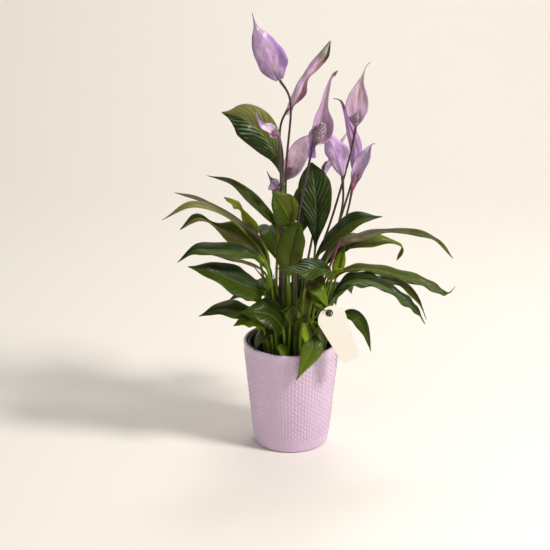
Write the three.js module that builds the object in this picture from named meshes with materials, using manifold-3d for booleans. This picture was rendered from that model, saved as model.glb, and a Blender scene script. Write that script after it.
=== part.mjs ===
// A peace lily in a studded glazed pot: the glazed pot, the grower's pot inside it, the soil,
// eleven flowers, thirty-three leaves and a gift tag. Millimetres, +Z up, and the origin at the
// centre of the pot's flat base. The plant's front is -Y.
import * as THREE from "three";
import { mergeVertices } from "three/addons/utils/BufferGeometryUtils.js";
import Module from "manifold-3d";

const GAP = 0.3; // between pieces that touch

// Glazed pot
const POT_HEIGHT = 153;
const POT_TOP_RADIUS = 67.5;
const POT_BASE_RADIUS = 52;
const POT_WALL = 4;
const POT_FLOOR = 6;
const POT_FOOT_ROUND = 2.5;

// Grower's pot
const LINER_CLEARANCE = 1.5; // between its wall and the glazed wall
const LINER_WALL = 1.2;
const LINER_FLOOR = 2;
const LINER_BELOW_LIP = 3;
const LINER_RIM_WIDTH = 2.2;
const LINER_RIM_DEPTH = 5;
const DRAIN_HOLES = 6;
const DRAIN_RADIUS = 4;

// Soil
const SOIL_BELOW_LIP = 16;
const SOIL_EDGE_ROUND = 3;

// Plant. The rows further down are drawn for these three sizes and stretch with them.
const PLANT_HEIGHT = 482; // soil to the tip of the tallest flower
const PLANT_SPREAD = 416; // left leaf tip to right leaf tip
const DRAWN = { height: 482, spread: 416, soilRadius: 56.7 };
const CROWN_HEIGHT = 60; // above the soil, where the stalks no longer follow the pot's mouth
const STALK_RADIUS = 1.6;
const STALK_FOOT_RADIUS = 2.1;
const FOOT_CLEAR = 1.5; // lets the round foot of a leaning stalk clear the soil
const BLADE_HALF_THICKNESS = 0.5;
const FLOWER_STALK_RADIUS = 1.4;
const SPADIX_RADIUS = 3.6;
const SPATHE_HALF_THICKNESS = 0.45;

// Gift tag
const TAG = { width: 45, length: 68, thickness: 0.8, shoulder: 16, corner: 6, holeRadius: 3, holeInset: 6 };
const TIE_RADIUS = 0.7;

const AROUND_POT = 40;
const AROUND_LEAF = 8;
const AROUND_SPATHE = 12;
const AROUND_STALK = 7;

const wasm = await Module();
wasm.setup();

// Heights of the pots and the soil
const soilTop = POT_HEIGHT - SOIL_BELOW_LIP;
const linerBase = POT_FLOOR + GAP;
const linerTop = POT_HEIGHT - LINER_BELOW_LIP;

// The glazed pot's outer radius at a height
function potRadius(z) {
  return POT_BASE_RADIUS + ((POT_TOP_RADIUS - POT_BASE_RADIUS) * z) / POT_HEIGHT;
}

function linerOuterRadius(z) {
  return potRadius(z) - POT_WALL - LINER_CLEARANCE - LINER_RIM_WIDTH;
}

const soilRadius = linerOuterRadius(soilTop) - LINER_WALL - GAP;

function material(colour, roughness) {
  return new THREE.MeshStandardMaterial({ color: colour, roughness, metalness: 0 });
}

const GLAZE = () => material(0xcdb3c6, 0.35);
const PLASTIC = () => material(0x16161a, 0.55);
const SOIL = () => material(0x1d140d, 0.95);
const CARD = () => material(0xf3ecdb, 0.8);
const TIE = () => material(0x1c2416, 0.6);
const LEAF = () => material(0x2f5a1a, 0.35);
const STALK = () => material(0x301520, 0.5);
const SPATHE = () => material(0xb88ad0, 0.5);

// A solid of revolution about Z from [radius, height] corners that run up the outside
function turned(corners) {
  const outline = corners.map(([radius, z]) => new THREE.Vector2(radius, z));
  const geometry = new THREE.LatheGeometry(outline, AROUND_POT);
  return geometry.rotateX(Math.PI / 2);
}

function roundedCorner(centreRadius, centreZ, round, fromDegrees, toDegrees, steps) {
  return Array.from({ length: steps + 1 }, (_, i) => {
    const angle = THREE.MathUtils.degToRad(fromDegrees + ((toDegrees - fromDegrees) * i) / steps);
    return [centreRadius + round * Math.cos(angle), centreZ + round * Math.sin(angle)];
  });
}

function glazedPot() {
  const lip = POT_WALL / 2;
  const lipZ = POT_HEIGHT - lip;
  return turned([
    [0, 0],
    ...roundedCorner(POT_BASE_RADIUS - POT_FOOT_ROUND, POT_FOOT_ROUND, POT_FOOT_ROUND, -90, 0, 2),
    ...roundedCorner(potRadius(lipZ) - lip, lipZ, lip, 0, 180, 4),
    [potRadius(POT_FLOOR) - POT_WALL, POT_FLOOR],
    [0, POT_FLOOR],
  ]);
}

function solidOf(geometry) {
  const bare = geometry.clone();
  bare.deleteAttribute("normal");
  bare.deleteAttribute("uv");
  const merged = mergeVertices(bare, 1e-3);
  const vertProperties = merged.getAttribute("position").array;
  return new wasm.Manifold(new wasm.Mesh({ numProp: 3, vertProperties, triVerts: new Uint32Array(merged.index.array) }));
}

function geometryOf(solid) {
  const mesh = solid.getMesh();
  const geometry = new THREE.BufferGeometry();
  geometry.setAttribute("position", new THREE.BufferAttribute(mesh.vertProperties, 3));
  geometry.setIndex(new THREE.BufferAttribute(mesh.triVerts, 1));
  geometry.computeVertexNormals();
  return geometry;
}

function growersPot() {
  const base = linerOuterRadius(linerBase);
  const rimZ = linerTop - LINER_RIM_DEPTH;
  const top = linerOuterRadius(rimZ);
  const floorZ = linerBase + LINER_FLOOR;
  const shell = turned([
    [0, linerBase],
    [base, linerBase],
    [top, rimZ],
    [top + LINER_RIM_WIDTH, rimZ],
    [top + LINER_RIM_WIDTH, linerTop],
    [linerOuterRadius(linerTop) - LINER_WALL, linerTop],
    [linerOuterRadius(floorZ) - LINER_WALL, floorZ],
    [0, floorZ],
  ]);
  let solid = solidOf(shell);
  for (let i = 0; i < DRAIN_HOLES; i++) {
    const angle = (i / DRAIN_HOLES) * 2 * Math.PI;
    const hole = new THREE.CylinderGeometry(DRAIN_RADIUS, DRAIN_RADIUS, 3 * LINER_FLOOR, 12);
    hole.rotateX(Math.PI / 2);
    hole.translate(0.6 * base * Math.cos(angle), 0.6 * base * Math.sin(angle), linerBase + LINER_FLOOR / 2);
    solid = solid.subtract(solidOf(hole));
  }
  return geometryOf(solid);
}

function soil() {
  const bottomZ = linerBase + LINER_FLOOR + GAP;
  const bottom = linerOuterRadius(bottomZ) - LINER_WALL - GAP;
  const soilShoulder = linerOuterRadius(soilTop - SOIL_EDGE_ROUND) - LINER_WALL - GAP;
  return turned([
    [0, bottomZ],
    [bottom, bottomZ],
    [soilShoulder, soilTop - SOIL_EDGE_ROUND],
    [soilShoulder - SOIL_EDGE_ROUND, soilTop],
    [0, soilTop],
  ]);
}

const smooth = (value, low, high) => THREE.MathUtils.smoothstep(value, low, high);
const between = (a, b, share) => a + (b - a) * share;

const crownShare = soilRadius / DRAWN.soilRadius;

// Places drawn in the rows: sideways from the pot's axis, and up from the soil. Low ones follow the
// pot's mouth, and high ones the plant's own spread.
function plantPoint([x, y, up]) {
  const spread = between(crownShare, PLANT_SPREAD / DRAWN.spread, smooth(up, 0, CROWN_HEIGHT));
  const rise = PLANT_HEIGHT / DRAWN.height;
  return new THREE.Vector3(x * spread, y * spread, soilTop + up * rise);
}

// A stalk's foot, just clear of the soil, at its place in the crown
function footPoint([x, y]) {
  return new THREE.Vector3(x * crownShare, y * crownShare, soilTop + GAP + FOOT_CLEAR);
}

function curveThrough(points) {
  return new THREE.CatmullRomCurve3(points, false, "catmullrom", 0.5);
}

// The directions across a grown piece at a place on its spine: `side` runs across its blade and
// `face` is the way its upper side looks. `lean` is the azimuth that the piece leans towards.
function crossFrame(curve, along, lean, roll) {
  const tangent = curve.getTangent(along);
  const side = new THREE.Vector3(-Math.sin(lean), Math.cos(lean), 0);
  side.addScaledVector(tangent, -side.dot(tangent)).normalize();
  side.applyAxisAngle(tangent, roll);
  return { side, face: new THREE.Vector3().crossVectors(tangent, side) };
}

// A closed body grown along a curve. At each station, `sectionAt` gives its half width across, its
// half thickness and the angle that its width is rolled through.
function grown({ curve, stations, around, lean, rollAt, sectionAt }) {
  const geometry = new THREE.CylinderGeometry(1, 1, 1, around, stations.length - 1);
  const position = geometry.getAttribute("position");
  for (let i = 0; i < position.count; i++) {
    const station = Math.round((position.getY(i) + 0.5) * (stations.length - 1));
    const along = stations[station];
    const { half, thick, curl } = sectionAt(along);
    const { side, face } = crossFrame(curve, along, lean, rollAt(along));
    const bend = Math.max(curl, 0.01);
    const radius = (2 * half) / bend;
    const angle = (position.getX(i) * bend) / 2;
    const outward = -position.getZ(i) * thick;
    const point = curve
      .getPoint(along)
      .addScaledVector(side, (radius - outward) * Math.sin(angle))
      .addScaledVector(face, radius - (radius - outward) * Math.cos(angle));
    position.setXYZ(i, point.x, point.y, point.z);
  }
  geometry.computeVertexNormals();
  return geometry;
}

function spacedStations(from, to, count) {
  return Array.from({ length: count }, (_, i) => from + ((to - from) * i) / (count - 1));
}

// How wide a blade is along its length, as a share of its widest
function bladeShape(share, belly, taper) {
  const widest = belly / (belly + taper);
  const peak = widest ** belly * (1 - widest) ** taper;
  return (share ** belly * (1 - share) ** taper) / peak;
}

// Leaves: foot in the crown, points up the stalk and along the blade, the place in that list where
// the blade starts, its width, and the turn about its midrib at the blade's start and at its tip.
const LEAVES = [
  // upper left, and the tall ones about the middle
  { foot: [-5, -6], points: [[-8, -8, 130], [-13, -14, 256], [-33, -22, 308], [-62, -24, 339], [-94, -16, 347]],
    blade: 1, width: 50, roll: [-70, -75], belly: 0.8, taper: 0.8 },
  { foot: [-21, -1], points: [[-21, -1, 110], [-20, 0, 176], [-45, 6, 208], [-80, 12, 239], [-116, 14, 250]],
    blade: 1, width: 30, roll: [-25, -5] },
  { foot: [-27, -5], points: [[-30, -2, 100], [-36, 2, 148], [-78, 4, 188], [-118, 3, 216], [-160, -2, 231]],
    blade: 1, width: 26, roll: [4, 6] },
  { foot: [-25, -15], points: [[-30, -18, 90], [-38, -22, 148], [-82, -30, 196], [-128, -40, 226], [-175, -44, 207]],
    blade: 1, width: 36, roll: [0, 2] },
  { foot: [-26, 9], points: [[-28, 12, 60], [-31, 15, 112], [-68, 23, 152], [-112, 28, 175], [-155, 30, 167]],
    blade: 1, width: 40, roll: [-14, -4] },
  { foot: [-18, -24], points: [[-24, -30, 80], [-42, -42, 143], [-78, -50, 163], [-118, -58, 168], [-154, -66, 153]],
    blade: 1, width: 42, roll: [-12, -4] },
  { foot: [-26, -31], points: [[-30, -38, 50], [-37, -45, 98], [-70, -58, 118], [-106, -69, 138], [-140, -74, 149]],
    blade: 1, width: 56, roll: [-26, -20] },
  { foot: [-36, -24], points: [[-38, -30, 30], [-44, -36, 58], [-70, -45, 73], [-96, -51, 80], [-121, -54, 72]],
    blade: 1, width: 40, roll: [-14, -10] },
  { foot: [-37, -12], points: [[-38, -12, 40], [-42, -14, 74], [-56, -13, 82], [-72, -12, 84], [-88, -10, 74]],
    blade: 1, width: 26, roll: [-8, -8] },
  { foot: [-9, -40], points: [[-10, -46, 20], [-12, -54, 42], [-29, -66, 58], [-47, -76, 73], [-68, -82, 85]],
    blade: 1, width: 52, roll: [-26, -20] },
  { foot: [22, -13], points: [[27, -12, 90], [32, -12, 152], [33, -16, 192], [31, -17, 234], [26, -4, 274]],
    blade: 1, width: 54, roll: [-16, -10], lean: 106, belly: 1.1, taper: 0.8 },
  { foot: [3, -21], points: [[4, -25, 100], [9, -28, 182], [0, -35, 210], [-12, -39, 232], [-27, -40, 245]],
    blade: 1, width: 38, roll: [-60, -60] },
  { foot: [-4, -29], points: [[-2, -36, 60], [1, -42, 118], [-1, -48, 148], [2, -52, 178], [12, -52, 204]],
    blade: 1, width: 38, roll: [0, 0], lean: 86, belly: 0.8, taper: 0.7 },
  { foot: [27, -20], points: [[31, -20, 80], [37, -20, 146], [58, -26, 171], [90, -33, 200], [122, -38, 208]],
    blade: 1, width: 44, roll: [22, 10] },
  { foot: [32, -3], points: [[38, 0, 80], [48, 3, 136], [100, 12, 163], [164, 16, 164], [224, 14, 130]],
    blade: 1, width: 25, roll: [6, 2] },
  { foot: [31, 13], points: [[38, 22, 80], [48, 27, 138], [86, 35, 155], [128, 40, 147], [150, 42, 117]],
    blade: 1, width: 22, roll: [0, 0] },
  { foot: [38, -8], points: [[42, -8, 50], [50, -7, 92], [94, -14, 125], [158, -21, 114], [225, -20, 101]],
    blade: 1, width: 30, roll: [6, 8] },
  { foot: [38, -21], points: [[44, -23, 50], [58, -26, 92], [100, -38, 114], [144, -44, 92], [183, -46, 55]],
    blade: 1, width: 40, roll: [12, 6] },
  { foot: [44, 0], points: [[48, -2, 40], [60, -6, 74], [104, -12, 108], [150, -17, 94], [188, -20, 56]],
    blade: 1, width: 28, roll: [0, 4] },
  { foot: [30, -31], points: [[43, -36, 70], [54, -42, 128], [36, -64, 144], [6, -74, 143], [-23, -78, 148]],
    blade: 1, width: 44, roll: [-14, -10] },
  { foot: [18, -36], points: [[24, -38, 40], [31, -37, 74], [35, -36, 94], [38, -35, 114], [42, -35, 134]],
    blade: 1, width: 26, roll: [0, 10], lean: 60 },
  // beside the tag
  { foot: [44, -15], points: [[52, -20, 34], [64, -26, 64], [82, -30, 62], [98, -32, 42], [110, -32, 10]],
    blade: 1, width: 26, roll: [24, 30] },
  // behind
  { foot: [7, 29], points: [[9, 34, 90], [14, 42, 158], [24, 66, 196], [34, 92, 214], [42, 118, 208]],
    blade: 1, width: 46, roll: [0, 0] },
  { foot: [-7, 27], points: [[-10, 34, 60], [-15, 44, 112], [-22, 72, 142], [-30, 102, 148], [-36, 130, 132]],
    blade: 1, width: 48, roll: [0, 0] },
  { foot: [-17, 20], points: [[-24, 30, 60], [-34, 42, 104], [-56, 66, 130], [-78, 88, 132], [-98, 106, 112]],
    blade: 1, width: 42, roll: [0, 0] },
  { foot: [-32, 20], points: [[-38, 26, 34], [-44, 36, 58], [-60, 56, 72], [-74, 76, 70], [-88, 96, 54]],
    blade: 1, width: 38, roll: [0, 0] },
  { foot: [26, 24], points: [[34, 32, 60], [46, 42, 108], [72, 62, 134], [98, 82, 138], [124, 100, 120]],
    blade: 1, width: 44, roll: [0, 0] },
  { foot: [14, 36], points: [[17, 44, 34], [22, 56, 68], [30, 82, 92], [38, 108, 94], [46, 134, 74]],
    blade: 1, width: 44, roll: [0, 0] },
  { foot: [-14, 36], points: [[-18, 44, 24], [-25, 56, 48], [-37, 80, 66], [-49, 104, 64], [-60, 126, 42]],
    blade: 1, width: 38, roll: [0, 0] },
  { foot: [40, 16], points: [[46, 22, 34], [54, 34, 58], [66, 56, 70], [78, 78, 66], [88, 100, 46]],
    blade: 1, width: 36, roll: [0, 0] },
  { foot: [2, 38], points: [[3, 46, 20], [2, 58, 40], [-3, 84, 56], [-8, 108, 50], [-12, 130, 26]],
    blade: 1, width: 34, roll: [0, 0] },
  { foot: [33, 32], points: [[37, 40, 20], [42, 50, 38], [50, 70, 50], [58, 92, 46], [66, 112, 24]],
    blade: 1, width: 34, roll: [0, 0] },
];

// The leaf that hangs over the lip: out from the glazed pot's wall, and up from its lip
const OVERHANGING = {
  foot: [26, -42],
  azimuth: [-63, -68, -74, -86],
  out: [-6, 11, 11, 8],
  up: [22, 17, -3, -33],
  width: 34,
  roll: [0, 10],
  lean: -76,
};

function overhangingRow() {
  const points = OVERHANGING.azimuth.map((degrees, i) => {
    const z = POT_HEIGHT + OVERHANGING.up[i];
    const angle = THREE.MathUtils.degToRad(degrees);
    const radius = potRadius(Math.min(z, POT_HEIGHT)) + OVERHANGING.out[i];
    return new THREE.Vector3(radius * Math.cos(angle), radius * Math.sin(angle), z);
  });
  return { ...OVERHANGING, points, blade: 0 };
}

// How a blade swells and narrows, where its row doesn't say
const LEAF_BELLY = 0.55;
const LEAF_TAPER = 1.05;
const TIP_HALF = 0.5;

function leaf(row) {
  const spread = PLANT_SPREAD / DRAWN.spread;
  const { belly = LEAF_BELLY, taper = LEAF_TAPER } = row;
  const points = row.points.map((point) => (point.isVector3 ? point : plantPoint(point)));
  const curve = curveThrough([footPoint(row.foot), ...points]);
  const bladeFrom = (row.blade + 1) / points.length;
  const start = points[row.blade];
  const end = points[points.length - 1];
  const lean = row.lean === undefined
    ? Math.atan2(end.y - start.y, end.x - start.x)
    : THREE.MathUtils.degToRad(row.lean);
  const share = (along) => Math.max(0, (along - bladeFrom) / (1 - bladeFrom));
  return grown({
    curve,
    around: AROUND_LEAF,
    stations: [...spacedStations(0, bladeFrom, 5).slice(0, -1), ...spacedStations(bladeFrom, 1, 9)],
    lean,
    rollAt: (along) => THREE.MathUtils.degToRad(between(...row.roll, share(along))),
    sectionAt: (along) => {
      const blade = share(along);
      const stalk = between(STALK_FOOT_RADIUS, STALK_RADIUS, Math.min(1, along / bladeFrom));
      const half = (row.width * spread * bladeShape(blade, belly, taper)) / 2;
      return {
        half: Math.max(half, between(stalk, TIP_HALF, smooth(blade, 0, 1))),
        thick: between(stalk, BLADE_HALF_THICKNESS, smooth(blade, 0, 0.15)),
        curl: 0.7 * smooth(blade, 0, 0.2),
      };
    },
  });
}

// Flowers: foot in the crown, points up the stalk, points from the spathe's start to its tip, its
// width when flat, the angle it is rolled through, the azimuth that its open side faces, where the
// body of the spathe is widest, and how far along it the spadix reaches.
const FLOWERS = [
  { foot: [-4, 4], stalk: [[-9, 3, 130], [-8, 1, 260], [-2, -8, 355]],
    spathe: [[-16, -17, 390], [-27, -24, 422], [-38, -24, 450], [-53, -16, 482]],
    width: 54, curl: 80, faces: 95, belly: 0.55, taper: 1.15, spadix: 0.45 },
  { foot: [-11, 10], stalk: [[-14, 5, 120], [-15, -3, 245], [-16, 2, 320]],
    spathe: [[-8, 8, 340], [10, 14, 382], [30, 16, 412], [50, 12, 436]],
    width: 54, curl: 290, faces: -60, belly: 0.35, taper: 0.5, spadix: 0.3 },
  { foot: [-13, -14], stalk: [[-12, -17, 110], [-14, -20, 205], [-15, -30, 262]],
    spathe: [[-19, -48, 318], [-30, -50, 334], [-40, -50, 345], [-47, -50, 356]],
    width: 18, curl: 110, faces: -70, belly: 0.6, taper: 1.1, spadix: 0.2 },
  { foot: [8, -31], stalk: [[6, -35, 100], [5, -36, 175], [22, -42, 255]],
    spathe: [[34, -38, 307], [38, -34, 332], [44, -34, 370], [60, -44, 411]],
    width: 46, curl: 130, faces: -90, belly: 0.5, taper: 1.9, spadix: 0.28 },
  { foot: [4, 12], stalk: [[2, 14, 90], [-5, 15, 180], [-9, 15, 212]],
    spathe: [[-11, 19, 235], [-2, 21, 261], [14, 24, 285], [39, 27, 298]],
    width: 36, curl: 80, faces: -70, belly: 0.5, taper: 0.7, spadix: 0.2 },
  { foot: [-18, 6], stalk: [[-16, 10, 110], [-17, 12, 190], [-20, 10, 215]],
    spathe: [[-22, 8, 232], [-24, 7, 243], [-28, 5, 252], [-32, 2, 262]],
    width: 18, curl: 150, faces: -90, belly: 0.5, taper: 1.2, spadix: 0.2 },
  { foot: [16, -4], stalk: [[28, 0, 90], [56, -4, 160], [69, -8, 215]],
    spathe: [[66, -20, 257], [58, -27, 281], [50, -30, 302], [45, -28, 320]],
    width: 38, curl: 90, faces: 80, belly: 0.6, taper: 0.8, spadix: 0.4 },
  { foot: [10, 2], stalk: [[22, 5, 90], [54, 2, 190], [78, 1, 280]],
    spathe: [[86, 2, 323], [89, 8, 345], [92, 9, 374], [103, 2, 411]],
    width: 36, curl: 80, faces: -95, belly: 0.55, taper: 1.0, spadix: 0.22 },
  { foot: [16, 14], stalk: [[26, 15, 90], [58, 14, 160], [76, 18, 210]],
    spathe: [[83, 24, 248], [84, 28, 284], [79, 28, 318], [58, 22, 357]],
    width: 40, curl: 120, faces: 190, belly: 0.5, taper: 0.9, spadix: 0.3 },
  { foot: [24, -1], stalk: [[38, -6, 80], [62, -11, 155], [79, -5, 217]],
    spathe: [[87, -6, 243], [96, -6, 264], [103, -7, 286], [114, -6, 303]],
    width: 32, curl: 100, faces: 200, belly: 0.6, taper: 1.1, spadix: 0.3 },
  { foot: [12, 22], stalk: [[18, 26, 90], [30, 32, 160], [42, 38, 205]],
    spathe: [[50, 50, 234], [60, 53, 258], [69, 53, 279], [77, 50, 301]],
    width: 32, curl: 120, faces: 150, belly: 0.6, taper: 0.8, spadix: 0.3 },
];

// How far the spathe's start stands behind its stalk, so that the two don't touch
const SPATHE_STANDOFF = FLOWER_STALK_RADIUS + SPATHE_HALF_THICKNESS + GAP + 0.2;
const SPADIX_STANDOFF = SPADIX_RADIUS + SPATHE_HALF_THICKNESS + 2;

function facing(row) {
  const azimuth = THREE.MathUtils.degToRad(row.faces);
  return new THREE.Vector3(Math.cos(azimuth), Math.sin(azimuth), 0);
}

function spatheCurve(row) {
  return curveThrough(row.spathe.map(plantPoint));
}

// The stalk, and the spadix that ends it, in front of the spathe
function flowerStem(row) {
  const open = facing(row);
  const bract = spatheCurve(row);
  const neck = bract.getPoint(0).addScaledVector(open, SPATHE_STANDOFF);
  const middle = bract.getPoint(0.55 * row.spadix).addScaledVector(open, SPADIX_STANDOFF);
  const tip = bract.getPoint(row.spadix).addScaledVector(open, SPADIX_STANDOFF + 2);
  const points = [footPoint(row.foot), ...row.stalk.map(plantPoint), neck, middle, tip];
  const neckAt = (row.stalk.length + 1) / (points.length - 1);
  const spadixAt = (along) => Math.max(0, (along - neckAt) / (1 - neckAt));
  return grown({
    curve: curveThrough(points),
    around: AROUND_STALK,
    stations: [...spacedStations(0, neckAt, 9), neckAt + 0.3 * (1 - neckAt), neckAt + 0.6 * (1 - neckAt), 1],
    lean: THREE.MathUtils.degToRad(row.faces) + Math.PI,
    rollAt: () => 0,
    sectionAt: (along) => {
      const share = spadixAt(along);
      const stalk = between(1.25, 1, Math.min(1, along / neckAt)) * FLOWER_STALK_RADIUS;
      const swollen = between(stalk, SPADIX_RADIUS, smooth(share, 0.05, 0.6));
      const radius = between(swollen, 0.45 * SPADIX_RADIUS, smooth(share, 0.6, 1));
      return { half: radius, thick: radius, curl: 0 };
    },
  });
}

function spathe(row) {
  const spread = PLANT_SPREAD / DRAWN.spread;
  const rolled = THREE.MathUtils.degToRad(row.curl);
  return grown({
    curve: spatheCurve(row),
    around: AROUND_SPATHE,
    stations: spacedStations(0, 1, 10),
    lean: THREE.MathUtils.degToRad(row.faces) + Math.PI,
    rollAt: () => 0,
    sectionAt: (along) => {
      const half = (row.width * spread * bladeShape(along, row.belly, row.taper)) / 2;
      return {
        half: Math.max(half, between(1.6, TIP_HALF, along)),
        thick: SPATHE_HALF_THICKNESS,
        curl: rolled * smooth(along, 0, 0.2),
      };
    },
  });
}

// The tag stands just in front of the lip. Its middle is out from the wall, and it leans.
const TAG_PLACE = { azimuth: -49, out: 25, up: 36, leanOver: 28, leanBack: 8, turn: 10 };

function tagMatrix() {
  const angle = THREE.MathUtils.degToRad(TAG_PLACE.azimuth);
  const radius = POT_TOP_RADIUS + TAG_PLACE.out;
  const [over, back, turn] = [TAG_PLACE.leanOver, TAG_PLACE.leanBack, TAG_PLACE.turn].map(THREE.MathUtils.degToRad);
  const matrix = new THREE.Matrix4().makeTranslation(
    radius * Math.cos(angle),
    radius * Math.sin(angle),
    POT_HEIGHT + TAG_PLACE.up,
  );
  matrix.multiply(new THREE.Matrix4().makeRotationZ(turn));
  matrix.multiply(new THREE.Matrix4().makeRotationX(Math.PI / 2 - back));
  return matrix.multiply(new THREE.Matrix4().makeRotationZ(over));
}

// The card lies in its own XY plane, its hole towards +Y, and faces +Z
function giftTag() {
  const halfWidth = TAG.width / 2;
  const halfLength = TAG.length / 2;
  const outline = new THREE.Shape();
  outline.moveTo(-halfWidth + TAG.corner, -halfLength);
  outline.lineTo(halfWidth - TAG.corner, -halfLength);
  outline.quadraticCurveTo(halfWidth, -halfLength, halfWidth, -halfLength + TAG.corner);
  outline.lineTo(halfWidth, halfLength - TAG.shoulder);
  outline.quadraticCurveTo(halfWidth, halfLength, 0, halfLength);
  outline.quadraticCurveTo(-halfWidth, halfLength, -halfWidth, halfLength - TAG.shoulder);
  outline.lineTo(-halfWidth, -halfLength + TAG.corner);
  outline.quadraticCurveTo(-halfWidth, -halfLength, -halfWidth + TAG.corner, -halfLength);
  const hole = new THREE.Path();
  hole.absarc(0, halfLength - TAG.holeInset, TAG.holeRadius, 0, 2 * Math.PI, true);
  outline.holes.push(hole);
  const geometry = new THREE.ExtrudeGeometry(outline, {
    depth: TAG.thickness,
    bevelEnabled: false,
    curveSegments: 6,
  });
  geometry.translate(0, 0, -TAG.thickness / 2);
  return geometry.applyMatrix4(tagMatrix());
}

// The tie comes through the hole and over the card's top, and ends beside the stems
function tagTie() {
  const hole = TAG.length / 2 - TAG.holeInset;
  const onCard = [[1, hole - 8, -2.5], [0.5, hole - 3, -2], [0, hole, 0.6], [-1, hole + 4, 3], [-4, hole + 9, 1]];
  const points = onCard.map((point) => new THREE.Vector3(...point).applyMatrix4(tagMatrix()));
  const last = points[points.length - 1];
  points.push(new THREE.Vector3(last.x - 10, last.y + 5, last.z + 1));
  points.push(new THREE.Vector3(last.x - 20, last.y + 13, last.z - 6));
  const section = new THREE.Shape();
  section.absarc(0, 0, TIE_RADIUS, 0, 2 * Math.PI);
  return new THREE.ExtrudeGeometry(section, {
    steps: 22,
    curveSegments: 3,
    bevelEnabled: false,
    extrudePath: curveThrough(points),
  });
}

const lily = new THREE.Group();

function add(name, geometry, finish) {
  const mesh = new THREE.Mesh(geometry, finish());
  mesh.name = name;
  lily.add(mesh);
}

const numbered = (name, index) => `${name}_${String(index + 1).padStart(2, "0")}`;

add("pot", glazedPot(), GLAZE);
add("nursery_pot", growersPot(), PLASTIC);
add("potting_soil", soil(), SOIL);
add("gift_tag", giftTag(), CARD);
add("tag_tie", tagTie(), TIE);
FLOWERS.forEach((row, i) => add(numbered("flower_stem", i), flowerStem(row), STALK));
FLOWERS.forEach((row, i) => add(numbered("spathe", i), spathe(row), SPATHE));
[...LEAVES, overhangingRow()].forEach((row, i) => add(numbered("leaf", i), leaf(row), LEAF));

export default lily;
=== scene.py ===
"""The looks of a potted peace lily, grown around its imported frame.

A studded glazed pot, the grower's pot and soil inside it, eleven violet flowers, the leaves, young
growth and a card tag. Metres, +Z up; the origin is the centre of the pot's base and -Y is the front.
"""

import math
import random

import bmesh
import bpy
from bpy.props import FloatProperty, FloatVectorProperty, IntProperty, PointerProperty
from mathutils import Matrix, Vector, noise


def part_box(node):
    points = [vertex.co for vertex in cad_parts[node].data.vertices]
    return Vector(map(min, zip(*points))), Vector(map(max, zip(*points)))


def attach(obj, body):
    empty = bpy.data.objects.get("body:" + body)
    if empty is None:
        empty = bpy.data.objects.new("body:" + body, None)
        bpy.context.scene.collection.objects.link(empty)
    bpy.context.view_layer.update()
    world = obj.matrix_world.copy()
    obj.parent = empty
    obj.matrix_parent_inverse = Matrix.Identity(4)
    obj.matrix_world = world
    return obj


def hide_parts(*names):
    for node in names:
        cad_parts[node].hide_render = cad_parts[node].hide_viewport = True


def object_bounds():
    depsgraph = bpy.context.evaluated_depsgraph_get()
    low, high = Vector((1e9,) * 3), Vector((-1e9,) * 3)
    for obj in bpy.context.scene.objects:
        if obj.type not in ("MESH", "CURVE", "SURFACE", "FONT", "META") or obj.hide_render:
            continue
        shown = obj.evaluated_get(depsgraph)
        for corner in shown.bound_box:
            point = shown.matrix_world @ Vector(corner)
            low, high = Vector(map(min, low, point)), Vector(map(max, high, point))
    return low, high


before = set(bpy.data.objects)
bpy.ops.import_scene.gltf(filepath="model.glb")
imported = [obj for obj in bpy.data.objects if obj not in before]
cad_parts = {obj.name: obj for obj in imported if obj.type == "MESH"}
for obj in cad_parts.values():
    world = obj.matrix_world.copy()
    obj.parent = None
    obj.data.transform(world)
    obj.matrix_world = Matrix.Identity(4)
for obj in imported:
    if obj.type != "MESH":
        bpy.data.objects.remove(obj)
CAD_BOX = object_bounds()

bl_info = {
    "name": "Potted Peace Lily",
    "version": (1, 0, 0),
    "blender": (4, 5, 0),
    "location": "3D Viewport > Sidebar > Lily",
    "description": "Grows a peace lily in a studded pot around its frame",
    "category": "Object",
}

BODY = "root"
MM = 0.001
MERGE_DISTANCE = 1e-6

# Places that come from the frame
POT_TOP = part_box("pot")[1]
SOIL_LOW, SOIL_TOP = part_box("potting_soil")
LINER_LOW, LINER_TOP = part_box("nursery_pot")

# The rows of leaves and flowers are drawn for these sizes, in millimetres
DRAWN_HEIGHT = 482
DRAWN_SPREAD = 400
DRAWN_SOIL_RADIUS = 56.4
CROWN_HEIGHT = 60


def clamp(value, low=0.0, high=1.0):
    return max(low, min(high, value))


def smooth(value, low, high):
    """0 below low, 1 above high, and an even swell between them."""
    share = clamp((value - low) / (high - low))
    return share * share * (3 - 2 * share)


def between(a, b, share):
    return a + (b - a) * share


def mixed(a, b, share):
    return tuple(between(x, y, share) for x, y in zip(a, b))


def paint(red, green, blue):
    """A screen colour, 0 to 255 a channel, as the linear colour that shaders take."""
    def linear(channel):
        value = channel / 255
        return value / 12.92 if value <= 0.04045 else ((value + 0.055) / 1.055) ** 2.4
    return (linear(red), linear(green), linear(blue))


# ---------------------------------------------------------------- settings


def length_setting(name, description, default):
    return FloatProperty(name=name, description=description, default=default, unit="LENGTH")


def count_setting(name, description, default, least=2):
    return IntProperty(name=name, description=description, default=default, min=least)


def colour_setting(name, description, default):
    return FloatVectorProperty(name=name, description=description, default=default, subtype="COLOR")


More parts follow.
